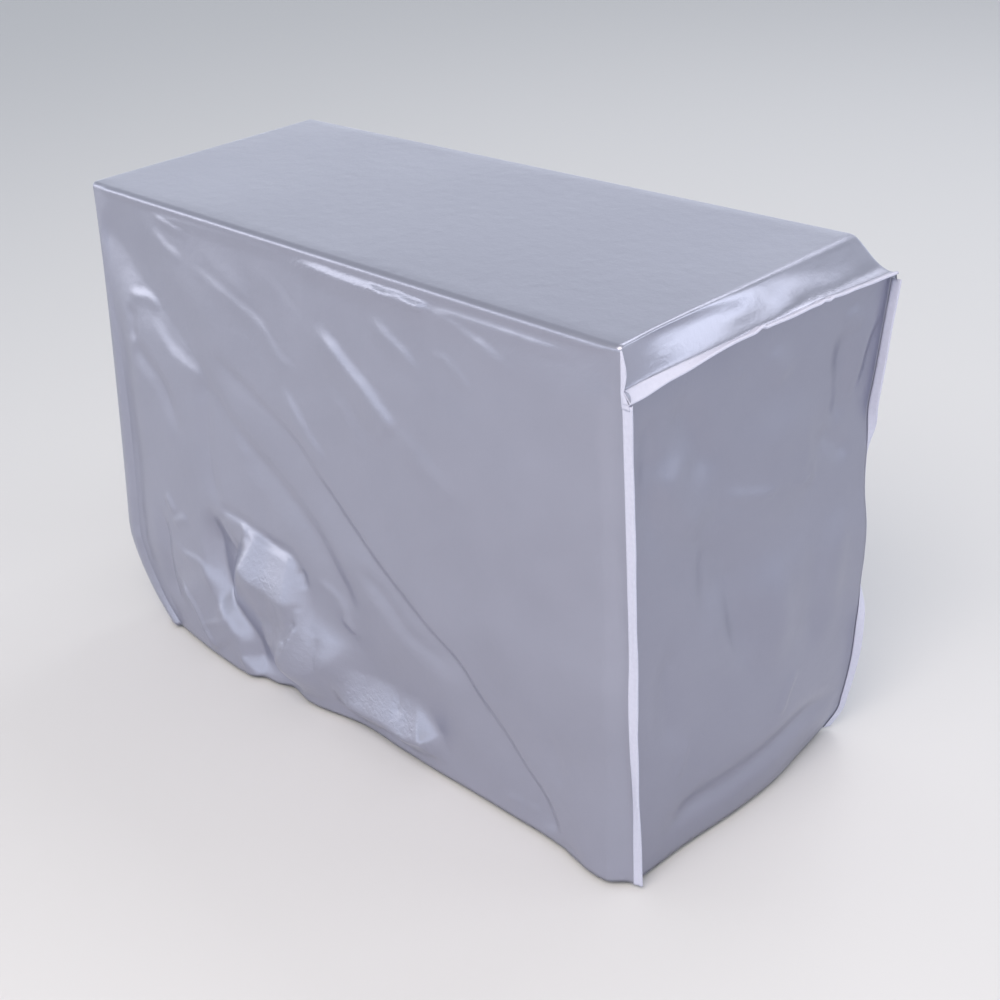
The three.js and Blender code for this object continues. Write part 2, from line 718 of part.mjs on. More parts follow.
const cover = new THREE.Group();
function addPiece(name, geometry, material) {
  const mesh = new THREE.Mesh(geometry, material);
  mesh.name = name;
  cover.add(mesh);
}

addPiece('front_top_back_panel', stripGeometry(), silverCloth);
addPiece('right_end_panel', endPanel(rightSeams, rightEndSurface), silverCloth);
addPiece('left_end_panel', endPanel(leftSeams, leftEndSurface), silverCloth);
addPiece('binding_front_right', join(tape(rightFrontTapeSeams), tongueGeometry()), whiteTape);
addPiece('binding_top_right', join(tape(rightTopTapeSeams, tapeWidths), lapGeometry()), whiteTape);
addPiece('binding_back_right', tape(rightBackTapeSeams), whiteTape);
addPiece('binding_front_left', tape(leftFrontTapeSeams), whiteTape);
addPiece('binding_top_left', tape(leftTopTapeSeams), whiteTape);
addPiece('binding_back_left', tape(leftBackTapeSeams), whiteTape);

export default cover;
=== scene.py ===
# Fitted cloth cover for the outdoor unit of an air conditioner, as it hangs on the unit.
# Sizes in the dictionaries are millimetres, angles are degrees. +Z is up, +X runs along the
# front to the right, +Y to the back, and the origin is the middle of the unit's top.
import math

import bpy
import numpy as np
from mathutils import Matrix


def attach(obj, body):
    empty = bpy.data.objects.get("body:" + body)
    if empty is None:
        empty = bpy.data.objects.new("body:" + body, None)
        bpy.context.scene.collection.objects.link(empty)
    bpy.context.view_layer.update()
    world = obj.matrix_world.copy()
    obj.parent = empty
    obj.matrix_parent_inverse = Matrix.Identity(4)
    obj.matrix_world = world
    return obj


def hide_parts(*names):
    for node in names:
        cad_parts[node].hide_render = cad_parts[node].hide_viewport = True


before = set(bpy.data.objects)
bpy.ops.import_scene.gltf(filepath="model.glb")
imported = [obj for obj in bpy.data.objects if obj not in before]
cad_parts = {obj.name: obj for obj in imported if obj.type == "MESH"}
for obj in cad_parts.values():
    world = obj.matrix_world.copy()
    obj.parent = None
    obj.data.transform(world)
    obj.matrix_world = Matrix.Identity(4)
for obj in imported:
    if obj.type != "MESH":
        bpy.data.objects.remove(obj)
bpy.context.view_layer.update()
metre = 0.001  # a millimetre in metres

cover = {
    "halfLength": 403.5,  # of the covered unit
    "halfDepth": 161.0,
    "drop": 569.0,
    "gap": 0.3,  # from the unit to the middle of the cloth that lies on it
    "frontClear": 0.7,  # the same at the front top edge
    "cloth": 0.5,  # coated cloth and its coating, a little thicker than the real 0.15
    "topLevel": 0.6,
    "edgeRound": 5.0,  # of the fold over the front and back top edges
    "layerStep": 0.9,  # from the strip's layer to the end panel's in a seam
    "seamWidth": 8.6,  # of the allowance inside the tape
    "tapeWidth": 9.8,
    "cornerDrop": 36.0,  # the right end seam starts this far under the front top edge
    "spareAtBack": 44.0,  # and stands out this far at the back corner
    "leftWrap": 5.0,  # how far the strip runs round the left corner to its seam
}
halfLength = cover["halfLength"]
halfDepth = cover["halfDepth"]
drop = cover["drop"]
frontFace = -halfDepth - cover["gap"]
backFace = halfDepth + cover["gap"]


# Small helpers on whole arrays


def mix(a, b, share):
    return a + (b - a) * share


def ease(t):
    t = np.clip(t, 0.0, 1.0)
    return t * t * (3.0 - 2.0 * t)


def bell(distance, reach):
    return np.exp(-((distance / reach) ** 2))


def softAbove(value, corner):
    # value where it is well above zero, and a smooth approach to zero below
    return corner * np.logaddexp(0.0, value / corner)


def xyz(x, y, z):
    return np.stack(np.broadcast_arrays(x, y, z), axis=-1).astype(float)


def unit(v):
    return v / np.maximum(np.linalg.norm(v, axis=-1, keepdims=True), 1e-9)


def curveAt(table, key, column, at):
    # A smooth curve through a table's rows: between two rows a cubic, whose slope at each row
    # is the slope between the rows on its two sides.
    xs = np.array(table[key], float)
    ys = np.array(table[column], float)
    slope = np.gradient(ys, xs)
    i = np.clip(np.searchsorted(xs, at) - 1, 0, len(xs) - 2)
    span = xs[i + 1] - xs[i]
    t = np.clip((at - xs[i]) / span, 0.0, 1.0)
    start = (2 * t**3 - 3 * t**2 + 1) * ys[i] + (t**3 - 2 * t**2 + t) * span * slope[i]
    return start + (3 * t**2 - 2 * t**3) * ys[i + 1] + (t**3 - t**2) * span * slope[i + 1]


def smoothPath(points, steps=5):
    # The points joined by cubics, so that a fold bends evenly.
    points = np.array(points, float)
    if len(points) < 3:
        return points
    along = np.concatenate([[0.0], np.cumsum(np.linalg.norm(np.diff(points, axis=0), axis=1))])
    at = np.unique(np.concatenate([np.linspace(a, b, steps + 1) for a, b in zip(along[:-1], along[1:])]))
    table = {"along": along, "first": points[:, 0], "second": points[:, 1]}
    return np.stack([curveAt(table, "along", "first", at), curveAt(table, "along", "second", at)], axis=1)


# Folds. A fold runs along a path on its panel. rise is how far the cloth stands out on it, in
# millimetres, and wide its half width on the left and on the right of the way the path runs.
# sharp goes from 0, a soft roll, to 1, a pressed crease, and ends are the shares of its length
# over which it grows and fades.

creaseReach = 1.7  # a pressed crease ends this many half widths from its path


def fold(rise, wide, path, sharp=0.3, ends=(0.3, 0.3)):
    left, right = wide if isinstance(wide, tuple) else (wide, wide)
    return {"rise": rise, "left": left, "right": right, "path": path, "sharp": sharp, "ends": ends}


def foldHeight(u, v, folds):
    # For each fold: its rise times a profile of the distance to its path, times its two ends.
    height = np.zeros_like(u)
    for item in folds:
        path = smoothPath(item["path"])
        reach = 3.0 * max(item["left"], item["right"])
        low, high = path.min(axis=0) - reach, path.max(axis=0) + reach
        near = (u > low[0]) & (u < high[0]) & (v > low[1]) & (v < high[1])
        if not near.any():
            continue
        a, b = u[near], v[near]
        lengths = np.linalg.norm(np.diff(path, axis=0), axis=1)
        starts = np.concatenate([[0.0], np.cumsum(lengths)])
        best = np.full(a.shape, 1e9)
        side = np.zeros_like(a)
        share = np.zeros_like(a)
        for k, length in enumerate(lengths):
            step = (path[k + 1] - path[k]) / length
            da, db = a - path[k, 0], b - path[k, 1]
            along = np.clip(da * step[0] + db * step[1], 0.0, length)
            distance = np.hypot(da - along * step[0], db - along * step[1])
            closer = distance < best
            best = np.where(closer, distance, best)
            side = np.where(closer, step[0] * db - step[1] * da, side)
            share = np.where(closer, (starts[k] + along) / starts[-1], share)
        q = best / np.where(side > 0, item["left"], item["right"])
        roll = np.exp(-(q**2))
        crease = np.maximum(0.0, 1.0 - q / creaseReach) ** 1.1
        start, end = (max(value, 1e-6) for value in item["ends"])
        grown = ease(share / start) * ease((1.0 - share) / end)
        height[near] += item["rise"] * mix(roll, crease, item["sharp"]) * grown
    return height


def ripple(u, v, size, height):
    # Slack in the cloth: waves of a few sizes and directions that never quite repeat. The
    # columns are the turns along u, the turns along v and the phase.
    waves = [
        (1.0, 0.35, 0.4),
        (0.62, -0.83, 2.1),
        (-0.37, 1.27, 4.4),
        (1.43, 0.71, 1.3),
        (-1.13, 0.52, 5.2),
    ]
    total = sum(np.sin((a * u + b * v) * 2 * math.pi / size + c) for a, b, c in waves)
    return height * total / len(waves)


# The four upright corners, as functions of the distance down

leftFlare = {"until": 455.0, "slope": 0.105, "curve": 0.00007, "leftShare": 0.25, "forwardShare": 0.75}
leftRound = {"top": 2.5, "foot": 24.0, "over": 330.0, "push": 0.2}
leftFoot = {"down": [440, 490, 512, 540, 569], "inward": [0, 10, 19, 35, 60]}
frontRightLine = {
    "down": [0, 36, 120, 200, 236, 298, 343, 380, 413, 456, 519, 569],
    "forward": [0, 0, 0, 0, 0, 1, 4, 4, 3, 0, 2.5, 4],
    "turn": [3, 3, 3, 0, -3, 0, 15, 6, -3, -23, 3, 20],
}
backRightLine = {
    "down": [28, 80, 135, 170, 215, 258, 300, 337, 367, 415, 465, 523, 545, 569],
    "out": [44.5, 39, 33, 28.5, 29, 30.5, 35.5, 35.5, 33.5, 31.5, 28.5, 19.5, 14.5, 5],
    "back": [0, 0, 0, 0, 0, 0, 0, 0, 0, 0, 0, 0, 1, -9],
    "turn": [0, 0, 2, 14, 110, 140, 140, 140, 132, 50, 46, 60, 62, 62],
}


def frontLeftCorner(down):
    held = np.minimum(down, leftFlare["until"])
    flare = leftFlare["slope"] * held + leftFlare["curve"] * held**2
    tucked = curveAt(leftFoot, "down", "inward", down)
    x = -halfLength - leftFlare["leftShare"] * flare + tucked
    return x, frontFace - leftFlare["forwardShare"] * flare


def cornerRound(down):
    # the left corner is sharp at the top and rounder further down
    return mix(leftRound["top"], leftRound["foot"], ease(down / leftRound["over"]))


def backLeftCorner(down):
    spread = 5.0 * down / drop
    return -halfLength - spread, backFace + spread


# Front of the strip

hemLine = {
    "starts": 240.0,  # how far down the hem's waves begin
    "x": [-357, -151, -132, -113, -81, 20, 65, 226, 309, 380, 402],
    "out": [0, 11.5, 8, -1, 4.5, -6.5, -3, -1.5, -1.5, 5, 0],
}

# paths are (x, z); the way of most of them is down to the right
frontFolds = [
    # the roll over the top edge, and the crumpled crease under it
    fold(2.0, (4, 5), [(-388, -4), (0, -4), (400, -4)], 0.2, (0.02, 0.02)),
    fold(1.2, (3, 7), [(-282, -15), (-209, -13), (-141, -12), (-74, -12), (-20, -14)], 0.7, (0.2, 0.2)),
    fold(3.0, (5, 13), [
        (-31, -17), (12, -16), (50, -18), (109, -19), (162, -21), (189, -21),
    ], 0.6, (0.25, 0.12)),
    fold(1.6, (3, 5), [(96, -15), (120, -18), (139, -15), (156, -19), (176, -17)], 0.9, (0.1, 0.1)),
    fold(1.3, (3, 7), [(182, -19), (224, -18), (282, -18), (337, -18), (361, -16)], 0.9, (0.1, 0.3)),
    fold(1.4, (4, 12), [
        (176, -20), (198, -25), (212, -28), (242, -37), (266, -46), (298, -57),
    ], 0.7, (0.1, 0.45)),
    # the long trough from the left shoulder down to the right
    fold(-5.0, (42, 38), [
        (-394, -28), (-369, -59), (-343, -85), (-304, -117), (-229, -174), (-170, -232),
    ], 0.5, (0.1, 0.4)),
    fold(-4.0, (12, 20), [
        (-250, -158), (-197, -208), (-156, -245), (-82, -290), (-28, -333), (8, -384), (23, -419),
    ], 0.6, (0.4, 0.1)),
    # the sharp trough beside it, which runs on to the hem
    fold(-3.0, (8, 24), [
        (-206, -156), (-160, -174), (-114, -194), (-47, -231), (-17, -257),
    ], 0.4, (0.3, 0.2)),
    fold(-4.5, (6, 24), [
        (-47, -231), (-17, -257), (41, -309), (98, -351), (140, -381), (180, -407), (206, -435),
    ], 0.7, (0.2, 0.2)),
    fold(-5.5, (7, 26), [
        (140, -381), (180, -407), (206, -435), (232, -461), (264, -497), (290, -520), (310, -560),
    ], 0.55, (0.3, 0.05)),
    fold(2.2, (40, 44), [(-40, -262), (30, -330), (96, -398), (150, -440), (205, -490), (250, -530)], 0.0),
    fold(-2.2, (9, 12), [
        (33, -346), (67, -358), (95, -381), (109, -394), (131, -403), (158, -412), (173, -438),
    ], 0.6, (0.15, 0.4)),
    # ridges that fan down from the top edge
    fold(1.2, (3, 6), [(-282, -14), (-253, -20), (-209, -26)], 0.7),
    fold(1.2, (5, 9), [(-284, -30), (-260, -47), (-223, -58)], 0.6),
    fold(1.2, (5, 14), [
        (-223, -57), (-173, -72), (-131, -86), (-90, -103), (-59, -132), (-34, -141), (-25, -162),
    ], 0.6),
    fold(0.5, (10, 14), [(-196, -30), (-140, -62), (-84, -84)], 0.1),
    fold(0.5, (12, 16), [(-110, -34), (-50, -62), (-6, -96)], 0.1),
    fold(2.2, (5, 18), [(-67, -158), (-42, -189), (-26, -207), (-9, -225), (4, -241)], 0.6),
    fold(3.6, (8, 22), [
        (-6, -78), (25, -94), (52, -114), (72, -127), (86, -139), (101, -151), (117, -165),
    ], 0.7, (0.3, 0.1)),
    fold(1.6, (9, 18), [(113, -152), (145, -178), (172, -195), (204, -218)], 0.4, (0.25, 0.5)),
    fold(1.2, (10, 16), [(20, -140), (45, -175), (64, -210)], 0.2),
    fold(1.7, (5, 13), [(88, -46), (104, -55), (122, -66), (140, -75), (161, -95)], 0.7),
    fold(0.9, (4, 8), [(170, -62), (196, -66), (216, -78), (236, -98)], 0.5),
    # left shoulder
    fold(1.6, (5, 9), [(-357, -124), (-335, -122), (-309, -121), (-292, -131)], 0.7, (0.3, 0.2)),
    fold(-2.0, (9, 9), [(-350, -134), (-352, -160), (-350, -186)], 0.3),
    fold(1.5, (9, 16), [
        (-318, -143), (-300, -156), (-284, -174), (-250, -188), (-217, -194),
    ], 0.65, (0.35, 0.06)),
    fold(-3.0, (11, 14), [
        (-356, -184), (-335, -200), (-306, -222), (-282, -263), (-262, -300),
    ], 0.6, (0.1, 0.5)),
    fold(-2.4, (10, 14), [
        (-213, -194), (-216, -231), (-220, -271), (-218, -308), (-210, -334), (-205, -356),
    ], 0.6, (0.1, 0.2)),
    fold(1.6, (14, 14), [(-176, -208), (-163, -251), (-134, -282)], 0.1),
    # lower left
    fold(-5.0, (8, 14), [(-342, -387), (-331, -418), (-331, -453), (-332, -498), (-317, -539)], 0.5),
    fold(2.4, (6, 6), [(-321, -369), (-303, -395)], 0.5),
    fold(2.4, (4, 8), [(-312, -407), (-276, -387)], 0.7),
    fold(2.4, (4, 10), [(-315, -429), (-295, -440), (-252, -442), (-238, -454), (-206, -491)], 0.8),
    fold(3.0, (5, 8), [
        (-310, -483), (-295, -495), (-275, -509), (-261, -530), (-238, -557),
    ], 0.7, (0.2, 0.1)),
    fold(1.8, (3, 4), [(-263, -531), (-207, -503)], 0.7),
    fold(6.0, (44, 10), [(-312, -476), (-270, -520), (-235, -562)], 0.2, (0.3, 0.1)),
    # deep trough that ends in the tuck at the hem
    fold(-18.0, (46, 12), [
        (-221, -350), (-228, -390), (-225, -435), (-213, -466), (-190, -492), (-170, -513),
        (-160, -551), (-154, -580),
    ], 0.55, (0.25, 0.02)),
    fold(2.0, (3, 6), [(-204, -366), (-195, -385), (-182, -403)], 0.8),
    fold(2.2, (4, 6), [(-159, -354), (-158, -370), (-156, -387)], 0.8),
    fold(3.0, (8, 9), [
        (-132, -456), (-125, -488), (-119, -507), (-113, -526), (-104, -556),
    ], 0.6, (0.3, 0.05)),
    fold(4.5, (6, 8), [(-193, -543), (-180, -554), (-162, -570)], 0.6, (0.4, 0.1)),
    # the two bright patches of slack cloth that face upwards
    fold(20.0, (34, 90), [
        (-180, -396), (-139, -417), (-99, -425), (-72, -424), (-46, -419),
    ], 0.85, (0.2, 0.25)),
    fold(-2.4, (8, 5), [
        (-207, -352), (-157, -355), (-115, -367), (-72, -372), (-56, -400),
    ], 0.7, (0.1, 0.1)),
    fold(22.0, (50, 30), [
        (-124, -462), (-94, -508), (-41, -502), (-8, -472), (14, -440),
    ], 0.45, (0.3, 0.35)),
    fold(1.5, (4, 8), [(-40, -384), (-20, -390), (-3, -401), (13, -431)], 0.6),
    fold(-2.4, (4, 5), [(-60, -380), (-57, -392), (-54, -406)], 0.7),
    fold(2.6, (5, 6), [(-2, -420), (14, -430), (20, -438)], 0.7),
    fold(-2.0, (4, 4), [(-30, -452), (-36, -484), (-38, -520)], 0.5),
    fold(20.0, (27, 18), [
        (-30, -519), (0, -529), (30, -532), (54, -528), (80, -528), (100, -530), (120, -526),
        (146, -512),
    ], 0.9, (0.25, 0.12)),
    fold(-2.2, (5, 4), [(81, -482), (84, -498), (85, -515)], 0.8),
    fold(2.8, (3, 5), [(129, -514), (135, -530), (141, -548)], 0.8),
    fold(2.2, (3, 4), [(131, -556), (155, -542)], 0.7),
    # near the hem and the right seam
    fold(-3.0, (6, 8), [(36, -562), (60, -556), (84, -552)], 0.5, (0.3, 0.3)),
    fold(-2.6, (6, 6), [(90, -536), (89, -552), (88, -572)], 0.5),
    fold(1.8, (5, 7), [(236, -554), (250, -545), (264, -537)], 0.6),
    fold(1.6, (5, 7), [(266, -546), (276, -544), (286, -545)], 0.6),
    fold(-1.6, (8, 12), [(306, -420), (312, -445), (318, -490)], 0.3),
    fold(-2.4, (6, 6), [(312, -572), (334, -562), (352, -568)], 0.4, (0.2, 0.2)),
]

# where the cloth is finely crumpled, from 0 to 1
crumpledPlaces = [
    fold(1.0, (30, 26), [
        (-180, -390), (-120, -400), (-86, -440), (-56, -480), (-20, -500),
    ], 0.0, (0.1, 0.1)),
    fold(1.0, (26, 22), [(-20, -508), (60, -512), (136, -516)], 0.0, (0.1, 0.1)),
    fold(0.5, (30, 30), [(-300, -420), (-270, -480), (-240, -540)], 0.0, (0.2, 0.1)),
    fold(0.8, (10, 10), [(-60, -16), (60, -18), (190, -22)], 0.0, (0.2, 0.1)),
]

# how far the cloth hangs clear of the unit between its edges, over what lengths this grows from
# the top, the left and the seam and fades at the hem, and how far the folds' places move with it
frontHang = {
    "clear": 6.0,
    "fromTop": 190.0,
    "fromHem": 150.0,
    "fromLeft": 60.0,
    "fromSeam": 120.0,
    "right": 1.1,
    "up": 0.87,
}
# the roll beside the right seam: how far it stands out and turns in at the top and at the hem
seamRoll = {"out": (3.5, 8.0), "turn": (22.0, 18.0), "reach": 130.0}
frontSlack = {"size": 190.0, "height": 1.1, "fineSize": 83.0, "fineHeight": 0.35}


def frontOut(x, down):
    # How far the front stands out past the straight line between its two upright edges: the
    # hem's own line growing downwards, the roll beside the right seam, the folds and slack.
    starts = hemLine["starts"]
    hemShare = np.clip((down - starts) / (drop - starts), 0.0, 1.0) ** 1.5
    hem = curveAt(hemLine, "x", "out", x) * hemShare
    fromSeam = halfLength - x
    turnIn = mix(*seamRoll["turn"], down / drop)
    roll = mix(*seamRoll["out"], down / drop) * ease((fromSeam - 4.0) / turnIn)
    roll = roll * bell(np.maximum(0.0, fromSeam - 25.0), seamRoll["reach"]) * ease(down / 60.0)
    atHem = 1.0 - 0.6 * ease((down - 540.0) / (drop - 540.0))
    inside = ease((x + halfLength) / 14.0) * ease(fromSeam / 12.0)
    place = frontHang
    hang = place["clear"] * ease((down - 12.0) / place["fromTop"])
    hang = hang * ease((drop - 20.0 - down) / place["fromHem"])
    hang = hang * ease((x + halfLength) / place["fromLeft"]) * ease((fromSeam - 20.0) / place["fromSeam"])
    folds = foldHeight(x - place["right"] * hang, -down - place["up"] * hang, frontFolds)
    slack = ripple(x, down, frontSlack["size"], frontSlack["height"])
    slack = slack + ripple(down, x, frontSlack["fineSize"], frontSlack["fineHeight"])
    return hem + roll + hang + folds * inside * atHem + slack * inside * ease(down / 60.0)


def frontSurface(x, down):
    # The straight line between the two upright edges, pushed out by frontOut and kept off the unit.
    leftX, leftY = frontLeftCorner(down)
    across = np.clip((x + halfLength) / (2.0 * halfLength), 0.0, 1.0)
    rightY = frontFace - curveAt(frontRightLine, "down", "forward", down)
    place = mix(leftX, halfLength, across)
    y = mix(leftY, rightY, across)
    out = frontOut(place, down)
    clear = softAbove(frontFace - (y - out), 0.6)
    return xyz(place, frontFace - clear * ease(down / 4.0), -down)


# Top with the part that droops past the unit's right edge

endSeamLine = {
    "y": [-161, -129, -103, -80, -57, -40, -15, 20, 70, 134, 161],
    "down": [35.5, 33.4, 32.9, 32.6, 32.0, 31.5, 31.0, 29.4, 28.5, 28.0, 28.0],
    "tilt": [-56, -46, -24, 2, 19, 25, 26, 25, 24, 23, 22],
}
droopShape = {"shoulder": 0.6, "spread": 45.0, "pucker": 0.5}

# paths are (y, distance down the droop), with the unit's edge at 0 and the seam at 45
droopFolds = [
    fold(-2.6, (8, 12), [
        (-4, 23), (-18, 21), (-43, 14), (-79, 11), (-110, 8), (-130, 11), (-138, 18),
    ], 0.4, (0.06, 0.15)),
    fold(-1.6, (4, 3), [(-5, 7), (-5, 17), (-4, 26)], 0.7),
    fold(2.6, (5, 4), [(-23, 24), (-17, 38), (-15, 46)], 0.7, (0.2, 0.02)),
    fold(2.0, (8, 8), [(24, 10), (21, 22), (14, 40)], 0.2),
    fold(-1.6, (6, 6), [(43, 12), (39, 24), (32, 40)], 0.2),
    fold(2.8, (6, 7), [(56, 10), (66, 19), (62, 32), (55, 46)], 0.5, (0.3, 0.1)),
    fold(2.4, (6, 8), [(84, 9), (90, 23), (80, 35), (67, 46)], 0.5, (0.3, 0.1)),
    fold(1.6, (6, 6), [(106, 12), (104, 30)], 0.3),
    fold(1.2, (9, 9), [(136, 14), (134, 34)], 0.2),
]


def seamX(y):
    return halfLength + 1.0 + cover["spareAtBack"] * (y + halfDepth) / (2.0 * halfDepth)


def topSurface(x, y):
    ripples = ripple(x, y, 330.0, 0.5) * ease((x + halfLength) / 60.0) * ease((halfLength - x) / 60.0)
    edges = ease((y + halfDepth) / 30.0) * ease((halfDepth - y) / 30.0)
    return xyz(x, y, cover["topLevel"] + ripples * edges)


def droopSurface(y, share):
    # share runs from the unit's edge to the seam. The cloth rounds the edge, drops steeply and
    # then flattens, and its folds stand out along its own normal.
    round0 = droopShape["shoulder"]
    eased = share * share * (1.0 + round0) / (share + round0)
    grow = share * (share + 2.0 * round0) * (1.0 + round0) / (share + round0) ** 2
    down = curveAt(endSeamLine, "y", "down", y) + cover["topLevel"]
    fall = down * (1.0 - (1.0 - eased) ** 2)
    steep = down * 2.0 * (1.0 - eased) * grow
    width = seamX(y) - halfLength
    normal = unit(xyz(steep, 0.0, width))
    height = foldHeight(y, share * droopShape["spread"], droopFolds)
    puckers = droopShape["pucker"] * np.sin((y + 20.0 * share) / 8.5) * ease((y + 60.0) / 60.0)
    height = height + puckers * ease((150.0 - y) / 60.0) * ease((share - 0.2) / 0.6)
    points = xyz(halfLength + width * share, y, cover["topLevel"] - fall)
    return points + normal * height[..., None]


# Back

backFolds = [
    fold(4.0, (26, 34), [(-330, -60), (-250, -200), (-210, -360), (-190, -560)], 0.1, (0.4, 0.02)),
    fold(-4.0, (22, 30), [(-240, -40), (-170, -190), (-120, -350), (-100, -560)], 0.1, (0.4, 0.02)),
    fold(5.0, (28, 30), [(60, -120), (20, -260), (10, -400), (24, -572)], 0.1, (0.4, 0.02)),
    fold(-3.5, (18, 26), [(200, -60), (140, -210), (120, -360), (132, -572)], 0.2, (0.4, 0.02)),
    fold(4.5, (22, 30), [(392, -50), (330, -150), (262, -300), (240, -572)], 0.2, (0.3, 0.02)),
    fold(-3.0, (12, 20), [(430, -90), (380, -200), (340, -350), (330, -500)], 0.3),
    fold(2.4, (8, 12), [(-120, -30), (-60, -60), (10, -66)], 0.5),
    fold(2.0, (7, 10), [(120, -24), (180, -48), (250, -52)], 0.5),
]


def backSurface(foldRow, x, down):
    # The fold row's points are carried down: each column runs on to its own place on the hem.
    leftX, leftY = backLeftCorner(down)
    rightX = halfLength + curveAt(backRightLine, "down", "out", down)
    rightY = backFace + curveAt(backRightLine, "down", "back", down)
    across = np.clip((x + halfLength) / (2.0 * halfLength), 0.0, 1.0)
    place = mix(leftX, rightX, across)
    y = mix(leftY, rightY, across)
    sides = ease((x + halfLength) / 40.0) * ease((halfLength - x) / 40.0)
    slack = foldHeight(place, -down, backFolds) + ripple(place, down, 210.0, 1.2)
    y = y + sides * slack * ease(down / 90.0)
    settle = ease((down + foldRow[..., 2]) / 190.0)
    return xyz(mix(foldRow[..., 0], place, settle), mix(foldRow[..., 1], y, settle), -down)


# Seams. A seam is a line of stations: root is the stitching, out the way the allowances point,
# and side the way from the strip's own layer to the end panel's layer.


def seamLine(root, out, side):
    return {"root": root, "out": unit(out), "side": unit(side)}


def levelSeam(root, angle, facing):
    a = np.radians(angle)
    return seamLine(root, xyz(np.cos(a), np.sin(a), 0), xyz(-np.sin(a), np.cos(a), 0) * facing)


def acrossSeam(root, angle, facing):
    a = np.radians(angle)
    return seamLine(root, xyz(np.cos(a), 0, np.sin(a)), xyz(np.sin(a), 0, -np.cos(a)) * facing)


# The strip's grid: rows from the front hem over the top to the back hem, columns from the left
# seam to the right seam.

stripGrid = {
    "frontRows": 162,
    "cornerRows": 14,
    "arcRows": 4,
    "topRows": 24,
    "backRows": 24,
    "wrapColumns": 6,
    "evenColumns": 189,
    "closerLeft": 0.1,  # the columns lie closer at the left, where most folds are
    "droopColumns": 13,
    "evenEnd": 36.0,  # the front's even columns stop this far from its right edge
    "fanRise": 3.0,
}


def frontLevels():
    lower = np.linspace(drop, cover["cornerDrop"], stripGrid["frontRows"])
    upper = np.linspace(cover["cornerDrop"], cover["edgeRound"], stripGrid["cornerRows"] + 1)
    return np.concatenate([lower, upper[1:]])


def columnShares():
    share = np.linspace(0, 1, stripGrid["evenColumns"] + 1)[None, :]
    return mix(share, share**3, stripGrid["closerLeft"])


def droopShares():
    count = stripGrid["droopColumns"]
    return np.arange(1, count + 1)[None, :] / count


def frontColumns(down):
    # Above the right seam the rows fan round the seam's upper end, from level at the seam to
    # upright along the unit's edge, so the last columns come over the corner onto the droop.
    fan = np.maximum(0.0, 1.0 - down / cover["cornerDrop"])[:, None]
    end = mix(halfLength - stripGrid["evenEnd"], halfLength, fan)
    even = mix(-halfLength, end, columnShares())
    foot = np.maximum(down[:, None], cover["cornerDrop"] - stripGrid["fanRise"] * fan)
    x = np.concatenate([even, mix(end, halfLength, droopShares())], axis=1)
    levels = [np.broadcast_to(down[:, None], even.shape), mix(down[:, None], foot, droopShares())]
    return x, np.concatenate(levels, axis=1)


def frontRows():
    down = frontLevels()
    x, level = frontColumns(down)
    points = frontSurface(x, level)
    # the rounded left corner takes the first columns in, and the corner itself a little out
    cornerX, cornerY = frontLeftCorner(down)
    radius = cornerRound(down)
    push = leftRound["push"] * (radius - leftRound["top"])
    corner = xyz(cornerX - push, cornerY - push, -down)
    first = cornerX - push + radius
    points[..., 0] += (first - points[:, 0, 0])[:, None] * (1.0 - ease((x + halfLength) / 60.0))
    points[:, 0, 1] = np.minimum(points[:, 0, 1], corner[:, 1] + 0.4)
    root = leftFrontSeam(down)["root"]
    return np.concatenate([wrapped(root, corner, points[:, 0]), points], axis=1)


def wrapped(root, corner, edge):
    # A curve from the left seam round the corner to the row's first point.
    t = np.linspace(0, 1, stripGrid["wrapColumns"] + 1)[:-1][None, :, None]
    root, corner, edge = (p[:, None, :] for p in (root, corner, edge))
    return root * (1 - t) ** 2 + corner * 2 * t * (1 - t) + edge * t**2


def topRows(frontEdge):
    # An arc from the front's upper row over the edge, the top, and an arc over the back edge.
    edge = cover["edgeRound"]
    start = -halfDepth - cover["frontClear"]
    angle = np.radians(np.linspace(0, 90, stripGrid["arcRows"] + 2)[1:-1])
    arcY = start + edge * (1.0 - np.cos(angle))
    arcZ = -edge * (1.0 - np.sin(angle))
    topY = np.linspace(start + edge, backFace - edge, stripGrid["topRows"])
    backY = backFace - edge * (1.0 - np.sin(angle))
    backZ = -edge * (1.0 - np.cos(angle))
    y = np.concatenate([arcY, topY, backY])[:, None]
    lower = np.concatenate([arcZ, np.zeros(len(topY)), backZ])[:, None]
    x = mix(-halfLength + 2.5, halfLength, columnShares())
    flat = topSurface(*np.broadcast_arrays(x, y))
    flat[..., 2] += lower
    arc = slice(0, stripGrid["arcRows"])
    flat[arc, :, 1] += (frontEdge - start)[None, :] * np.cos(angle)[:, None]
    droop = droopSurface(*np.broadcast_arrays(y, droopShares()))
    droop[..., 2] += lower * (1.0 - droopShares())
    points = np.concatenate([flat, droop], axis=1)
    root = leftTopSeam(y[:, 0])["root"]
    corner = xyz(-halfLength - 0.5, y[:, 0], flat[:, 0, 2] - 0.3)
    return np.concatenate([wrapped(root, corner, points[:, 0]), points], axis=1), y[:, 0]


def backRows(foldRow, hemX):
    count = stripGrid["backRows"]
    wraps = stripGrid["wrapColumns"]
    start = -foldRow[None, wraps:, 2]
    level = mix(start, drop, (np.arange(1, count + 1) / count)[:, None])
    points = backSurface(foldRow[None, wraps:, :], np.broadcast_to(hemX, level.shape), level)
    root = leftBackSeam(level[:, 0])["root"]
    corner = points[:, 0] + xyz(-1.0, 0.3, 0.0)
    return np.concatenate([wrapped(root, corner, points[:, 0]), points], axis=1), level


# The six seams, each as a function of the distance down or of the place along the depth

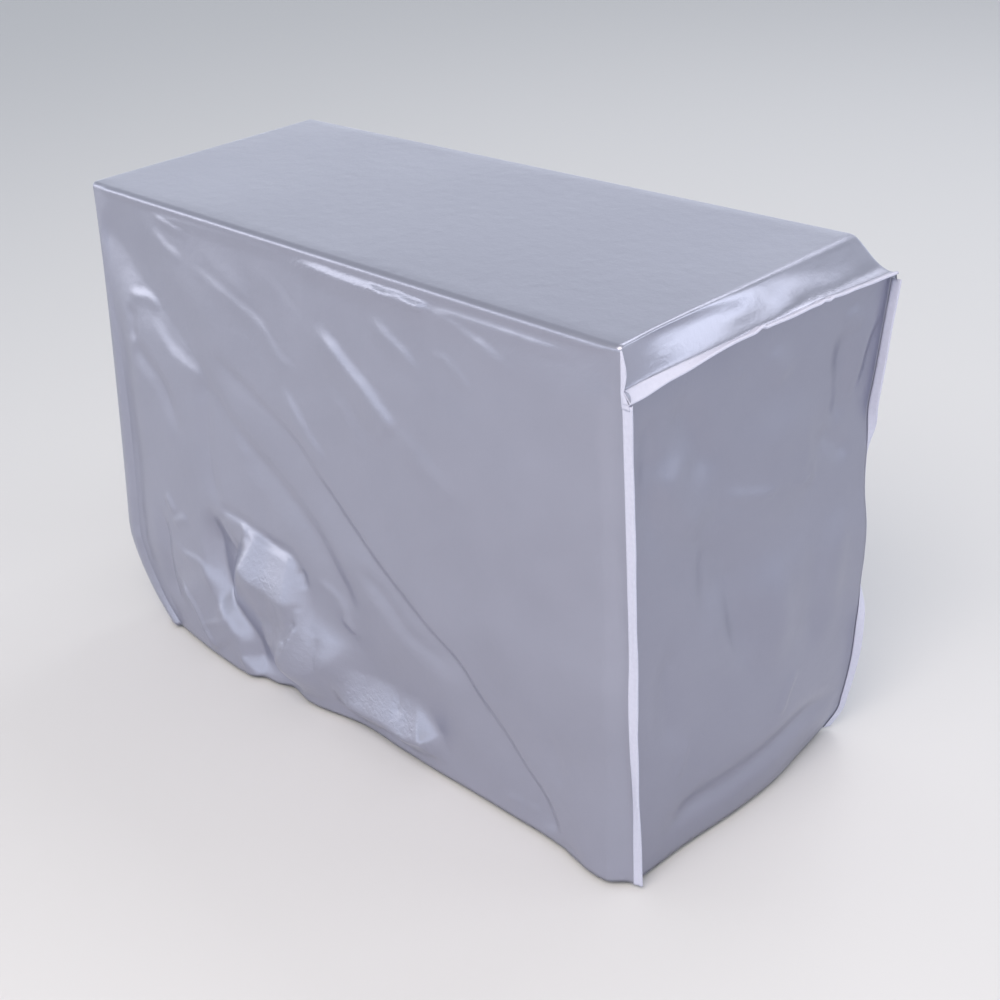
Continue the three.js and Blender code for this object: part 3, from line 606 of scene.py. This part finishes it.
leftSeams = {
    "front": 120.0,  # the angles of the three seams' allowances
    "top": 235.0,
    "back": 135.0,
    "rootOut": 1.0,  # from the unit's end to the stitching
    "topDown": 7.0,
    "cornerOut": (-0.6, 0.4, -0.69),  # the ways at the upper front corner
    "cornerSide": (0.74, 0.35, -0.57),
    "backOut": (-0.76, 0.46, -0.46),  # and at the upper back corner
    "backSide": (0.0, -0.9, -0.9),
}


def turned(seam, share, out, side):
    # the seam with its two ways turned towards others, by a share for each station
    ways = {"out": out, "side": side}
    for way, target in ways.items():
        seam[way] = unit(mix(seam[way], np.array(target), share[:, None]))
    return seam


def leftFrontSeam(down):
    x, y = frontLeftCorner(down)
    root = xyz(x - 0.5, y + cover["leftWrap"], -down)
    seam = levelSeam(root, np.full(down.shape, leftSeams["front"]), -1)
    # near the top the seam turns round the corner onto the top's seam
    root[:, 2] = -leftSeams["topDown"] - 2.5 - softAbove(down - leftSeams["topDown"] - 2.5, 1.0)
    return turned(seam, ease((16.0 - down) / 13.0), leftSeams["cornerOut"], leftSeams["cornerSide"])


def leftTopSeam(y):
    start = -halfDepth + 7.5
    root = xyz(-halfLength - leftSeams["rootOut"], start + softAbove(y - start, 2.0), -leftSeams["topDown"])
    root[:, 2] -= 2.2 * bell(np.maximum(0.0, y + halfDepth), 6.0)
    seam = acrossSeam(root, np.full(y.shape, leftSeams["top"]), -1)
    share = ease((-halfDepth + 14.0 - y) / 12.0)
    seam = turned(seam, share, leftSeams["cornerOut"], leftSeams["cornerSide"])
    return turned(seam, ease((y - halfDepth + 8.0) / 8.0), leftSeams["backOut"], leftSeams["backSide"])


def leftBackSeam(down):
    x, y = backLeftCorner(down)
    root = xyz(x - leftSeams["rootOut"], y, -np.maximum(down, leftSeams["topDown"]))
    return levelSeam(root, np.full(down.shape, leftSeams["back"]), 1)


def rightFrontSeam(down):
    root = frontSurface(np.full(down.shape, halfLength), down)
    return levelSeam(root, curveAt(frontRightLine, "down", "turn", down), 1)


def rightTopSeam(y):
    root = droopSurface(y, np.ones(y.shape))
    return acrossSeam(root, curveAt(endSeamLine, "y", "tilt", y), 1)


def rightBackSeam(down):
    x = halfLength + curveAt(backRightLine, "down", "out", down)
    y = backFace + curveAt(backRightLine, "down", "back", down)
    return levelSeam(xyz(x, y, -down), curveAt(backRightLine, "down", "turn", down), -1)


# Meshes


def gridQuads(rows, columns, first=0):
    index = first + np.arange(rows * columns).reshape(rows, columns)
    corners = [index[:-1, :-1], index[:-1, 1:], index[1:, 1:], index[1:, :-1]]
    return np.stack(corners, axis=-1).reshape(-1, 4)


def clothLengths(points):
    # A UV map in metres: along each row and along each column, measured on the cloth.
    across = np.linalg.norm(np.diff(points, axis=1), axis=2).mean(axis=0)
    along = np.linalg.norm(np.diff(points, axis=0), axis=2).mean(axis=1)
    u = np.concatenate([[0.0], np.cumsum(across)])
    v = np.concatenate([[0.0], np.cumsum(along)])
    return np.stack(np.meshgrid(u, v), axis=-1) * metre


def makePiece(name, patches, material, thick):
    # patches are grids of points, each a sheet of cloth; they become one mesh.
    points, uvs, quads = [], [], []
    count = 0
    for patch in patches:
        rows, columns = patch.shape[:2]
        quads.append(gridQuads(rows, columns, count))
        points.append(patch.reshape(-1, 3) * metre)
        uvs.append(clothLengths(patch).reshape(-1, 2))
        count += rows * columns
    points, uvs, quads = np.concatenate(points), np.concatenate(uvs), np.concatenate(quads)
    mesh = bpy.data.meshes.new(name)
    mesh.vertices.add(len(points))
    mesh.vertices.foreach_set("co", points.astype(np.float32).ravel())
    mesh.loops.add(quads.size)
    mesh.loops.foreach_set("vertex_index", quads.astype(np.int32).ravel())
    mesh.polygons.add(len(quads))
    mesh.polygons.foreach_set("loop_start", np.arange(0, quads.size, 4, dtype=np.int32))
    mesh.update(calc_edges=True)
    clothMap = mesh.uv_layers.new(name="clothMap")
    clothMap.data.foreach_set("uv", uvs[quads.ravel()].astype(np.float32).ravel())
    mesh.shade_smooth()
    mesh.materials.append(material)
    piece = bpy.data.objects.new(name, mesh)
    bpy.context.scene.collection.objects.link(piece)
    wall = piece.modifiers.new("clothThickness", "SOLIDIFY")
    wall.thickness = thick * metre
    wall.offset = 0.0
    return piece


# Materials


def linear(colour):
    # an sRGB hex colour as linear red, green, blue and full opacity
    parts = [int(colour[i : i + 2], 16) / 255 for i in (1, 3, 5)]
    return [p / 12.92 if p <= 0.04045 else ((p + 0.055) / 1.055) ** 2.4 for p in parts] + [1.0]


def addNode(tree, kind, inputs=None, **settings):
    node = tree.nodes.new("ShaderNode" + kind)
    for name, value in settings.items():
        setattr(node, name, value)
    for name, value in (inputs or {}).items():
        if isinstance(value, bpy.types.NodeSocket):
            tree.links.new(value, node.inputs[name])
        else:
            node.inputs[name].default_value = value
    return node


def newMaterial(name):
    material = bpy.data.materials.new(name)
    material.use_nodes = True
    tree = material.node_tree
    tree.nodes.clear()
    return material, tree


def waveScale(pitch):
    # a wave texture has 20 / (2 pi) bands for each unit of its scale, and pitch is in millimetres
    return 2.0 * math.pi * 1000.0 / pitch / 20.0


silverTaffeta = {
    "colours": ("#A3A5B6", "#ABADBE"),
    "paintedShadeEndColours": ("#9799AB", "#9FA1B2"),  # the end panels' colours, darkened as painted shade for the ends that face away from the light
    "metallic": 0.8,  # aluminium pigment in the coating
    "roughness": (0.30, 0.39),
    "mottle": 14.0,  # patches for each metre
    "threadPitch": 1.0,  # mm; the real threads are 0.2 mm apart, too fine to show
    "crinkle": 18.0,  # mm
    "crumple": 5.5,  # mm
    "streak": 320.0,  # for each metre across; eight times longer along the strip
    # strength and depth in metres of each relief, from the lowest to the one on top
    "relief": {
        "crinkles": (0.35, 0.0013),
        "crumples": (0.35, 0.002),
        "streaks": (0.2, 0.0004),
        "weave": (0.15, 0.0002),
    },
}


def makeSilverTaffeta(name, colours):
    # Polyester taffeta with a silver polyurethane coating: a satin sheen that follows the folds,
    # a plain weave that is just felt, faint crinkles from the packing, and fine crumples where
    # the cloth's own attribute has them.
    material, tree = newMaterial(name)
    look = silverTaffeta
    uv = addNode(tree, "UVMap", uv_map="clothMap").outputs["UV"]
    grain = {"Vector": uv, "Scale": look["mottle"], "Detail": 4.0}
    mottle = addNode(tree, "TexNoise", grain).outputs["Fac"]
    tones = {0: mottle, 6: linear(colours[0]), 7: linear(colours[1])}
    tint = addNode(tree, "Mix", tones, data_type="RGBA")
    smooth, rough = look["roughness"]
    roughness = addNode(tree, "MapRange", {"Value": mottle, "To Min": smooth, "To Max": rough})
    grain = {"Vector": uv, "Scale": 1000.0 / look["crinkle"], "Detail": 5.0, "Roughness": 0.6}
    crinkles = addNode(tree, "TexNoise", grain).outputs["Fac"]
    grain = {"Vector": uv, "Scale": 1000.0 / look["crumple"], "Detail": 3.0, "Distortion": 0.6}
    facets = addNode(tree, "TexNoise", grain).outputs["Fac"]
    share = addNode(tree, "Attribute", attribute_name="crumple").outputs["Fac"]
    crumples = addNode(tree, "Math", {0: facets, 1: share}, operation="MULTIPLY").outputs["Value"]
    stretched = addNode(tree, "Mapping", {"Vector": uv, "Scale": (1.0, 0.12, 1.0)}).outputs["Vector"]
    grain = {"Vector": stretched, "Scale": look["streak"], "Detail": 3.0}
    streaks = addNode(tree, "TexNoise", grain).outputs["Fac"]
    threads = {"Vector": uv, "Scale": waveScale(look["threadPitch"]), "Distortion": 0.3}
    warp = addNode(tree, "TexWave", threads, bands_direction="X").outputs["Fac"]
    weft = addNode(tree, "TexWave", threads, bands_direction="Y").outputs["Fac"]
    weave = addNode(tree, "Math", {0: warp, 1: weft}, operation="MULTIPLY").outputs["Value"]
    heights = {"crinkles": crinkles, "crumples": crumples, "streaks": streaks, "weave": weave}
    bump = {}
    for part, (strength, depth) in look["relief"].items():
        bump.update({"Height": heights[part], "Strength": strength, "Distance": depth})
        bump["Normal"] = addNode(tree, "Bump", bump).outputs["Normal"]
    surface = {
        "Base Color": tint.outputs[2],
        "Metallic": look["metallic"],
        "Roughness": roughness.outputs["Result"],
        "Normal": bump["Normal"],
    }
    shader = addNode(tree, "BsdfPrincipled", surface)
    addNode(tree, "OutputMaterial", {"Surface": shader.outputs["BSDF"]})
    return material


bindingTape = {
    "colour": "#CFD0E3",
    "shade": "#C0C2D6",
    "roughness": 0.8,
    "ribPitch": 1.1,  # mm
    "fuzz": 260.0,  # for each metre
    "relief": {"ribs": (0.3, 0.0003), "fuzz": (0.3, 0.0005)},
}


def makeBindingTape():
    # Woven polyester binding tape: matt white with fine ribs across it.
    material, tree = newMaterial("wovenPolyesterBinding")
    look = bindingTape
    uv = addNode(tree, "UVMap", uv_map="clothMap").outputs["UV"]
    wave = {"Vector": uv, "Scale": waveScale(look["ribPitch"]), "Distortion": 0.4}
    ribs = addNode(tree, "TexWave", wave, bands_direction="Y").outputs["Fac"]
    fuzz = addNode(tree, "TexNoise", {"Vector": uv, "Scale": look["fuzz"], "Detail": 4.0}).outputs["Fac"]
    tones = {0: fuzz, 6: linear(look["colour"]), 7: linear(look["shade"])}
    tint = addNode(tree, "Mix", tones, data_type="RGBA")
    heights = {"ribs": ribs, "fuzz": fuzz}
    bump = {}
    for part, (strength, depth) in look["relief"].items():
        bump.update({"Height": heights[part], "Strength": strength, "Distance": depth})
        bump["Normal"] = addNode(tree, "Bump", bump).outputs["Normal"]
    surface = {
        "Base Color": tint.outputs[2],
        "Roughness": look["roughness"],
        "Normal": bump["Normal"],
    }
    shader = addNode(tree, "BsdfPrincipled", surface)
    addNode(tree, "OutputMaterial", {"Surface": shader.outputs["BSDF"]})
    return material


taffeta = makeSilverTaffeta("silverCoatedTaffeta", silverTaffeta["colours"])
# a darker copy of the cloth for the end panels: painted shade, not a different cloth
paintedShadeEndTaffeta = makeSilverTaffeta("silverCoatedTaffetaPaintedShade", silverTaffeta["paintedShadeEndColours"])
binding = makeBindingTape()
print("materials made")

# The strip: front, top and back in one cloth

# Where an upright seam starts its allowance is narrow: how wide it is there, how far down it
# begins to widen, and over what length.
narrowStarts = {
    "frontLeft": (1.5, 6.0, 26.0),
    "backLeft": (2.5, 8.0, 12.0),
    "backRight": (3.0, 30.0, 12.0),
}


def allowanceWidth(corner, down):
    narrow, start, length = narrowStarts[corner]
    return mix(narrow, cover["seamWidth"], ease((down - start) / length))


def seamAllowances(points, left, leftWidth, right, rightWidth):
    # One more column at each end of the grid: the allowance that goes into the tape.
    first = left["root"] + left["out"] * leftWidth[:, None]
    last = right["root"] + right["out"] * rightWidth[:, None]
    return np.concatenate([first[:, None], points, last[:, None]], axis=1)


def makeStrip():
    full = cover["seamWidth"]
    down = frontLevels()
    x, level = frontColumns(down)
    front = frontRows()
    right = rightFrontSeam(level[:, -1])
    share = ease((cover["cornerDrop"] + 2.0 - down) / 6.0)[:, None]
    right["out"] = unit(mix(right["out"], np.array([0.88, 0.0, -0.47]), share))
    front = seamAllowances(
        front,
        leftFrontSeam(down),
        allowanceWidth("frontLeft", down),
        right,
        mix(full, 2.0, share[:, 0]),
    )
    wraps = stripGrid["wrapColumns"] + 1
    upper, y = topRows(front[-1, wraps : wraps + stripGrid["evenColumns"] + 1, 1])
    right = rightTopSeam(y)
    upper = seamAllowances(
        upper,
        leftTopSeam(y),
        mix(1.5, full, ease((y + halfDepth - 6.0) / 10.0) * ease((halfDepth - y) / 10.0 + 0.2)),
        right,
        mix(2.0, full, ease((y + halfDepth) / 10.0) * ease((halfDepth - y) / 8.0 + 0.3)),
    )
    back, backLevel = backRows(upper[-1, 1:-1], x[0])
    back = seamAllowances(
        back,
        leftBackSeam(backLevel[:, 0]),
        allowanceWidth("backLeft", backLevel[:, 0]),
        rightBackSeam(backLevel[:, -1]),
        allowanceWidth("backRight", backLevel[:, -1]),
    )
    return makePiece("coverCloth", [np.concatenate([front, upper, back])], taffeta, cover["cloth"])


def markCrumpled(piece, places):
    # A number for each point of the front, from 0 on smooth cloth to 1 where it is crumpled.
    mesh = piece.data
    at = np.empty(3 * len(mesh.vertices), np.float32)
    mesh.vertices.foreach_get("co", at)
    x, y, z = (at / metre).reshape(-1, 3).T
    share = np.clip(foldHeight(x, z, places), 0.0, 1.0) * (y < -halfDepth + 5.0)
    droop = 0.3 * ((x > halfLength + 3.0) & (z > -50.0) & (y < halfDepth))
    crumple = mesh.attributes.new("crumple", "FLOAT", "POINT")
    crumple.data.foreach_set("value", np.maximum(share, droop).astype(np.float32))


strip = makeStrip()
markCrumpled(strip, crumpledPlaces)
print("strip made")

# End panels

endGrid = {"rows": 130, "columns": 92}
endHem = {"y": [-165, -77, -19, 37, 106, 153], "out": [0, 4.5, 10.5, 12.0, 5.5, 0]}

# paths are (y, z)
endFolds = [
    fold(-4.5, (9, 20), [(-134, -60), (-134, -119), (-131, -179), (-134, -216)], 0.5, (0.2, 0.4)),
    fold(-5.5, (16, 20), [(-106, -56), (-98, -71), (-86, -98), (-74, -128), (-60, -160)], 0.3),
    fold(7.0, (32, 18), [(-130, -112), (-113, -146), (-98, -173), (-71, -212)], 0.4, (0.3, 0.3)),
    fold(-5.0, (22, 12), [(-74, -204), (-68, -225), (-65, -272), (-65, -330)], 0.3, (0.3, 0.5)),
    fold(-9.0, (32, 16), [
        (-68, -217), (-47, -242), (-35, -275), (-26, -323), (-11, -377), (4, -428),
    ], 0.3, (0.3, 0.5)),
    fold(7.0, (22, 32), [(8, -262), (22, -330), (30, -410)], 0.1, (0.4, 0.4)),
    fold(6.0, (36, 40), [(10, -100), (30, -170), (40, -240)], 0.0, (0.4, 0.4)),
    fold(6.5, (8, 16), [
        (166, -30), (158, -46), (151, -62), (136, -83), (130, -101), (127, -128), (118, -156),
    ], 0.65, (0.05, 0.4)),
    fold(-5.0, (12, 12), [(102, -62), (109, -110), (112, -143), (104, -176)], 0.4),
    fold(3.0, (4, 9), [(98, -58), (110, -54), (126, -51)], 0.7),
    fold(2.2, (5, 5), [(124, -53), (118, -65), (107, -73)], 0.5),
    fold(-3.4, (10, 11), [(80, -162), (109, -185), (135, -211)], 0.4),
    fold(2.4, (12, 12), [(4, -54), (18, -72), (30, -92)], 0.2),
    fold(2.2, (12, 14), [(60, -130), (66, -180), (58, -230)], 0.2),
    fold(1.0, (3, 4), [(8, -200), (22, -193)], 0.6),
    fold(1.1, (3, 5), [(40, -205), (54, -203), (68, -206), (74, -184)], 0.6),
    fold(1.8, (3, 4), [(-33, -70), (-28, -60)], 0.6),
    fold(2.2, (6, 8), [(-52, -176), (-20, -190), (23, -203)], 0.4),
    fold(2.8, (5, 7), [(60, -420), (43, -446), (33, -474)], 0.7),
    fold(1.8, (5, 6), [(-92, -428), (-107, -476)], 0.5),
    fold(-4.5, (12, 16), [(-112, -300), (-116, -380), (-106, -440)], 0.2),
    fold(-6.0, (16, 14), [
        (-127, -550), (-98, -525), (-38, -518), (25, -510), (88, -503), (136, -512), (162, -524),
    ], 0.2, (0.2, 0.25)),
    fold(3.0, (16, 20), [(120, -250), (112, -330), (120, -430)], 0.0),
    fold(-3.0, (14, 18), [(86, -260), (78, -340), (84, -430)], 0.1),
]


def blended(u, v, left, right, bottom, top):
    # A surface through its four edge curves: the blend of left and right, plus that of bottom and
    # top, less the blend of the four corners.
    sides = mix(left[:, None], right[:, None], u)
    ends = mix(bottom[None], top[None], v)
    corners = mix(mix(bottom[0], bottom[-1], u), mix(top[0], top[-1], u), v)
    return sides + ends - corners


def widthNear(count, small, full, run, length):
    # a seam allowance that is narrow at the ends of its seam
    at = np.linspace(0, length, count)
    return mix(small, full, ease(at / run) * ease((length - at) / run))


def endBorder(seam):
    return seam["root"] + seam["side"] * cover["layerStep"]


def panelBetween(seams):
    # The panel between its three seams and a straight hem, and its shares across and up.
    front, top, back = (endBorder(seam) for seam in seams)
    across = np.linspace(0, 1, endGrid["columns"])[None, :, None]
    up = np.linspace(0, 1, endGrid["rows"])[:, None, None]
    hem = mix(front[0], back[0], across[0])
    return blended(across, up, front, back, hem, top), across[..., 0], up[..., 0]


def panelWithAllowances(points, seams, widths):
    # Rows run up from the hem and columns from the front to the back.
    edges = (endBorder(seam) + seam["out"] * width[:, None] for seam, width in zip(seams, widths))
    front, top, back = edges
    rows = np.concatenate([front[:, None], points, back[:, None]], axis=1)
    above = np.concatenate([mix(front[-1:], top[:1], 0.6), top, mix(back[-1:], top[-1:], 0.6)])
    return np.concatenate([rows, above[None]])


def makeRightEnd():
    rows, columns = endGrid["rows"], endGrid["columns"]
    down = np.linspace(drop, cover["cornerDrop"], rows)
    backDown = np.linspace(drop, endSeamLine["down"][-1], rows)
    y = np.linspace(-halfDepth, halfDepth, columns)
    seams = [rightFrontSeam(down), rightTopSeam(y), rightBackSeam(backDown)]
    points, across, up = panelBetween(seams)
    depth, height = points[..., 1], points[..., 2]
    swell = curveAt(endHem, "y", "out", depth) * (1.0 - up) ** 1.1
    inside = ease(across / 0.09) * ease((1 - across) / 0.12) * ease((1.0 - up) / 0.08)
    folds = foldHeight(depth, height, endFolds)
    slack = ripple(depth, height, 170.0, 0.9) + ripple(height, depth, 77.0, 0.3)
    points[..., 0] += swell + inside * (folds + slack)
    full = cover["seamWidth"]
    widths = [
        mix(2.0, full, ease((down - cover["cornerDrop"]) / 10.0)),
        widthNear(columns, 2.5, full, 12.0, 2 * halfDepth),
        allowanceWidth("backRight", backDown),
    ]
    panel = panelWithAllowances(points, seams, widths)
    # the end panel gets the darker cloth with painted shade
    return makePiece("rightEndCloth", [panel], paintedShadeEndTaffeta, cover["cloth"])


leftEndFolds = [
    fold(4.0, (20, 26), [(-90, -60), (-80, -260), (-96, -560)], 0.1, (0.3, 0.05)),
    fold(-3.5, (16, 22), [(-20, -40), (-34, -240), (-20, -560)], 0.1, (0.3, 0.05)),
    fold(3.5, (18, 24), [(60, -50), (40, -260), (56, -560)], 0.1, (0.3, 0.05)),
    fold(-2.5, (12, 18), [(110, -30), (96, -220), (110, -480)], 0.2),
]


def makeLeftEnd():
    rows, columns = endGrid["rows"], endGrid["columns"]
    down = np.linspace(drop, leftSeams["topDown"] + 3.0, rows)
    y = np.linspace(-halfDepth + 2.0, halfDepth, columns)
    backDown = np.linspace(drop, leftSeams["topDown"], rows)
    seams = [leftFrontSeam(down), leftTopSeam(y), leftBackSeam(backDown)]
    points, across, up = panelBetween(seams)
    depth, height = points[..., 1], points[..., 2]
    # The panel hangs down beside the unit, and near the front it runs out to its flared seam.
    hang = endBorder(seams[1])[columns // 2, 0]
    front = endBorder(seams[0])[:, None, 0]
    away = ease((across - 0.045) / 0.11)
    straight = mix(hang + (front - hang) * (1.0 - away), points[..., 0], ease((across - 0.6) / 0.4))
    points[..., 0] = mix(straight, points[..., 0], ease((up - 0.985) / 0.015))
    inside = ease(across / 0.15) * ease((1 - across) / 0.12) * ease((1.0 - up) / 0.08)
    slack = 3.0 * np.sin(math.pi * across) * ease((1 - up) * 2)
    folds = foldHeight(depth, height, leftEndFolds) + ripple(depth, height, 160.0, 0.9)
    points[..., 0] -= slack + inside * np.maximum(folds, -2.0)
    widths = [
        allowanceWidth("frontLeft", down),
        widthNear(columns, 1.5, cover["seamWidth"], 16.0, 2 * halfDepth),
        allowanceWidth("backLeft", backDown),
    ]
    panel = panelWithAllowances(points, seams, widths)
    # the end panel gets the darker cloth with painted shade
    return makePiece("leftEndCloth", [panel[:, ::-1]], paintedShadeEndTaffeta, cover["cloth"])


rightEnd = makeRightEnd()
leftEnd = makeLeftEnd()
print("end panels made")

# Binding tapes

tape = {
    "thick": 0.45,
    "outerLevel": -0.85,  # middle of the tape's outer leg, from the strip's layer
    "innerLevel": 1.62,
    "outerStart": 0.9,  # where the two legs end, from the stitching
    "innerStart": 6.3,
    "step": 2.5,  # from one section to the next
    "uprightTop": 48.0,  # the front right tape starts this far down
    "wideEnd": 13.5,  # width of the top right tape at its front end
}


def tapeSurface(seam, width, innerStart):
    # The tape's section runs up the outer leg, round the fold at its edge and down the inner leg,
    # and is carried along the seam.
    low, high = tape["outerLevel"], tape["innerLevel"]
    radius = (high - low) / 2
    legs = np.linspace(0, 1, 7)
    angle = np.radians(np.linspace(-75, 75, 7))
    outs, sides = [], []
    for share in legs:
        outs.append(mix(tape["outerStart"], width - radius, share))
        sides.append(np.full(width.shape, low + 0.25 * np.sin(math.pi * share)))
    for a in angle:
        outs.append(width - radius + radius * np.cos(a))
        sides.append(np.full(width.shape, low + radius + radius * np.sin(a)))
    for share in legs[:5] / legs[4]:
        outs.append(mix(width - radius, innerStart, share))
        sides.append(np.full(width.shape, high))
    out = np.stack(outs, axis=1)[..., None]
    side = np.stack(sides, axis=1)[..., None]
    return seam["root"][:, None] + seam["out"][:, None] * out + seam["side"][:, None] * side


def outwards(patch, seam):
    # Turns the grid over where its first face would point at the cloth.
    run = patch[1:, 0] - patch[:-1, 0]
    facing = np.cross(patch[:-1, 2] - patch[:-1, 0], run)
    if (facing * -seam["side"][:-1]).sum() < 0:
        return patch[::-1]
    return patch


def makeTape(name, seam, width, extra=(), innerStart=tape["innerStart"]):
    patch = outwards(tapeSurface(seam, width, innerStart), seam)
    return makePiece(name, [patch, *extra], binding, tape["thick"])


def along(start, end):
    return np.linspace(start, end, int(abs(end - start) / tape["step"]) + 1)


def unevenWidth(at, seed):
    return cover["tapeWidth"] + 0.25 * np.sin(at / 23.0 + seed) + 0.15 * np.sin(at / 9.1 + 2.0 * seed)


# the thin upper end of the front right tape: its two edges past the unit's right edge
tongue = {
    "down": [2, 6, 12, 22, 30, 38, 44, 52],
    "inner": [0.3, 0.5, 0.4, 0.2, 0.0, -0.2, 0.0, 0.5],
    "outer": [1.0, 2.4, 4.0, 5.2, 4.4, 3.4, 6.5, 9.0],
}


def tonguePatch():
    down = np.linspace(52, 2, 28)
    share = np.linspace(0, 1, 6)[None, :]
    inner = curveAt(tongue, "down", "inner", down)[:, None]
    outer = curveAt(tongue, "down", "outer", down)[:, None]
    x = halfLength + mix(inner, outer, share)
    y = -halfDepth - 1.7 + 1.4 * share**2 * ease((40.0 - down) / 20.0)[:, None]
    return xyz(x, y, -down[:, None])


# the lower corner of the top tape's front end, as (past the unit's edge, y, down)
lap = {"tip": (0.8, -162.4, 36.5), "front": (2.0, -163.2, 47.0), "back": (8.5, -162.6, 47.5)}


def lapPatch():
    # The tape is cut upright here, so a small triangle goes on from its square end.
    tip, front, back = (np.array([halfLength + out, y, -down]) for out, y, down in lap.values())
    down = np.linspace(0.1, 1.0, 8)[:, None, None]
    across = np.linspace(0.0, 1.0, 6)[None, :, None]
    return tip + (mix(front, back, across) - tip) * down


def makeTapes():
    down = along(drop, tape["uprightTop"])
    backDown = along(34.0, drop)
    topY = along(-halfDepth - 1.5, halfDepth - 6.0)
    leftDown = along(drop, 30.0)
    leftY = along(-halfDepth + 22.0, halfDepth - 6.0)
    leftBack = along(14.0, drop)
    wide = mix(tape["wideEnd"], unevenWidth(topY, 0.5), ease((topY + halfDepth - 10.0) / 40.0))
    return [
        makeTape("frontRightBinding", rightFrontSeam(down), unevenWidth(down, 0.2), [tonguePatch()]),
        makeTape("topRightBinding", rightTopSeam(topY), wide, [lapPatch()]),
        makeTape("backRightBinding", rightBackSeam(backDown), unevenWidth(backDown, 1.1), innerStart=1.2),
        makeTape("frontLeftBinding", leftFrontSeam(leftDown), unevenWidth(leftDown, 2.3)),
        makeTape("topLeftBinding", leftTopSeam(leftY), unevenWidth(leftY, 3.1)),
        makeTape("backLeftBinding", leftBackSeam(leftBack), unevenWidth(leftBack, 4.2)),
    ]


tapes = makeTapes()
print("binding tapes made")

# What each piece is

clothNodes = ["front_top_back_panel", "right_end_panel", "left_end_panel"]
tapeNodes = [
    "binding_front_right",
    "binding_top_right",
    "binding_back_right",
    "binding_front_left",
    "binding_top_left",
    "binding_back_left",
]
for piece, node in zip([strip, rightEnd, leftEnd, *tapes], [*clothNodes, *tapeNodes]):
    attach(piece, "root")
    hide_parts(node)

# Floor, light and camera

studio = {
    "floorDown": 575.0,
    "floorHalf": 15.0,  # metres
    "floorColour": "#DEDEE1",
    "world": "#F3F8FF",
    "horizon": 1.95,  # strength of the light from the walls, and of the light from above
    "ceiling": 0.5,
    "aim": (0.0, 0.0, -0.25),
}

# place and size in metres, power in watts
softboxes = {
    "keySoftbox": {"place": (-2.9, -2.3, 0.35), "size": (2.0, 1.2), "power": 9.0, "colour": "#FFF8EC"},
    "backSoftbox": {"place": (3.0, 2.4, 1.1), "size": (1.8, 2.6), "power": 19.0, "colour": "#FFFFFF"},
    "topSoftbox": {"place": (-0.1, 2.3, 3.0), "size": (1.8, 1.8), "power": 30.0, "colour": "#FFFFFF"},
    "fillSoftbox": {"place": (0.9, -1.5, 1.9), "size": (1.8, 1.4), "power": 47.0, "colour": "#FFF3E6"},
}


def makeFloor():
    half = studio["floorHalf"]
    mesh = bpy.data.meshes.new("floor")
    z = -studio["floorDown"] * metre
    corners = [(-half, -half, z), (half, -half, z), (half, half, z), (-half, half, z)]
    mesh.from_pydata(corners, [], [(0, 1, 2, 3)])
    material, tree = newMaterial("mattWhitePaper")
    paper = {"Base Color": linear(studio["floorColour"]), "Roughness": 0.9}
    shader = addNode(tree, "BsdfPrincipled", paper)
    addNode(tree, "OutputMaterial", {"Surface": shader.outputs["BSDF"]})
    mesh.materials.append(material)
    floor = bpy.data.objects.new("floor", mesh)
    bpy.context.scene.collection.objects.link(floor)


def makeSoftbox(name, box):
    data = bpy.data.lights.new(name, "AREA")
    data.shape = "RECTANGLE"
    data.size, data.size_y = box["size"]
    data.energy = box["power"]
    data.color = linear(box["colour"])[:3]
    lamp = bpy.data.objects.new(name, data)
    bpy.context.scene.collection.objects.link(lamp)
    place = np.array(box["place"])
    z = unit(place - np.array(studio["aim"]))
    x = unit(np.cross([0.0, 0.0, 1.0], z))
    y = np.cross(z, x)
    lamp.matrix_world = Matrix([[x[i], y[i], z[i], place[i]] for i in range(3)] + [[0, 0, 0, 1]])


def makeLight():
    world = bpy.data.worlds.new("studio")
    world.use_nodes = True
    tree = world.node_tree
    tree.nodes.clear()
    way = addNode(tree, "TexCoord").outputs["Generated"]
    height = addNode(tree, "SeparateXYZ", {"Vector": way}).outputs["Z"]
    levels = {"Value": height, "From Max": 0.5, "To Min": studio["horizon"], "To Max": studio["ceiling"]}
    strength = addNode(tree, "MapRange", levels).outputs["Result"]
    sky = addNode(tree, "Background", {"Color": linear(studio["world"]), "Strength": strength})
    addNode(tree, "OutputWorld", {"Surface": sky.outputs["Background"]})
    bpy.context.scene.world = world
    for name, box in softboxes.items():
        makeSoftbox(name, box)


# the photo's viewing angle, found from the straight edges of the covered box and the hem line
photoCamera = {
    "place": (1048.41, -889.89, 424.78),
    "turn": 47.586,  # from looking along +Y towards -X
    "lookDown": 29.675,
    "roll": -4.624,
    "lens": 48.763,
    "sensor": 36.0,
}


def makeCamera():
    data = bpy.data.cameras.new("camera")
    data.lens = photoCamera["lens"]
    data.sensor_width = photoCamera["sensor"]
    camera = bpy.data.objects.new("camera", data)
    bpy.context.scene.collection.objects.link(camera)
    steps = [("Z", photoCamera["turn"]), ("X", 90.0 - photoCamera["lookDown"]), ("Z", photoCamera["roll"])]
    view = Matrix.Translation([metre * at for at in photoCamera["place"]])
    for axis, angle in steps:
        view = view @ Matrix.Rotation(math.radians(angle), 4, axis)
    camera.matrix_world = view
    bpy.context.scene.camera = camera


makeFloor()
makeLight()
makeCamera()
bpy.context.scene.view_settings.view_transform = "Standard"
print("studio made")
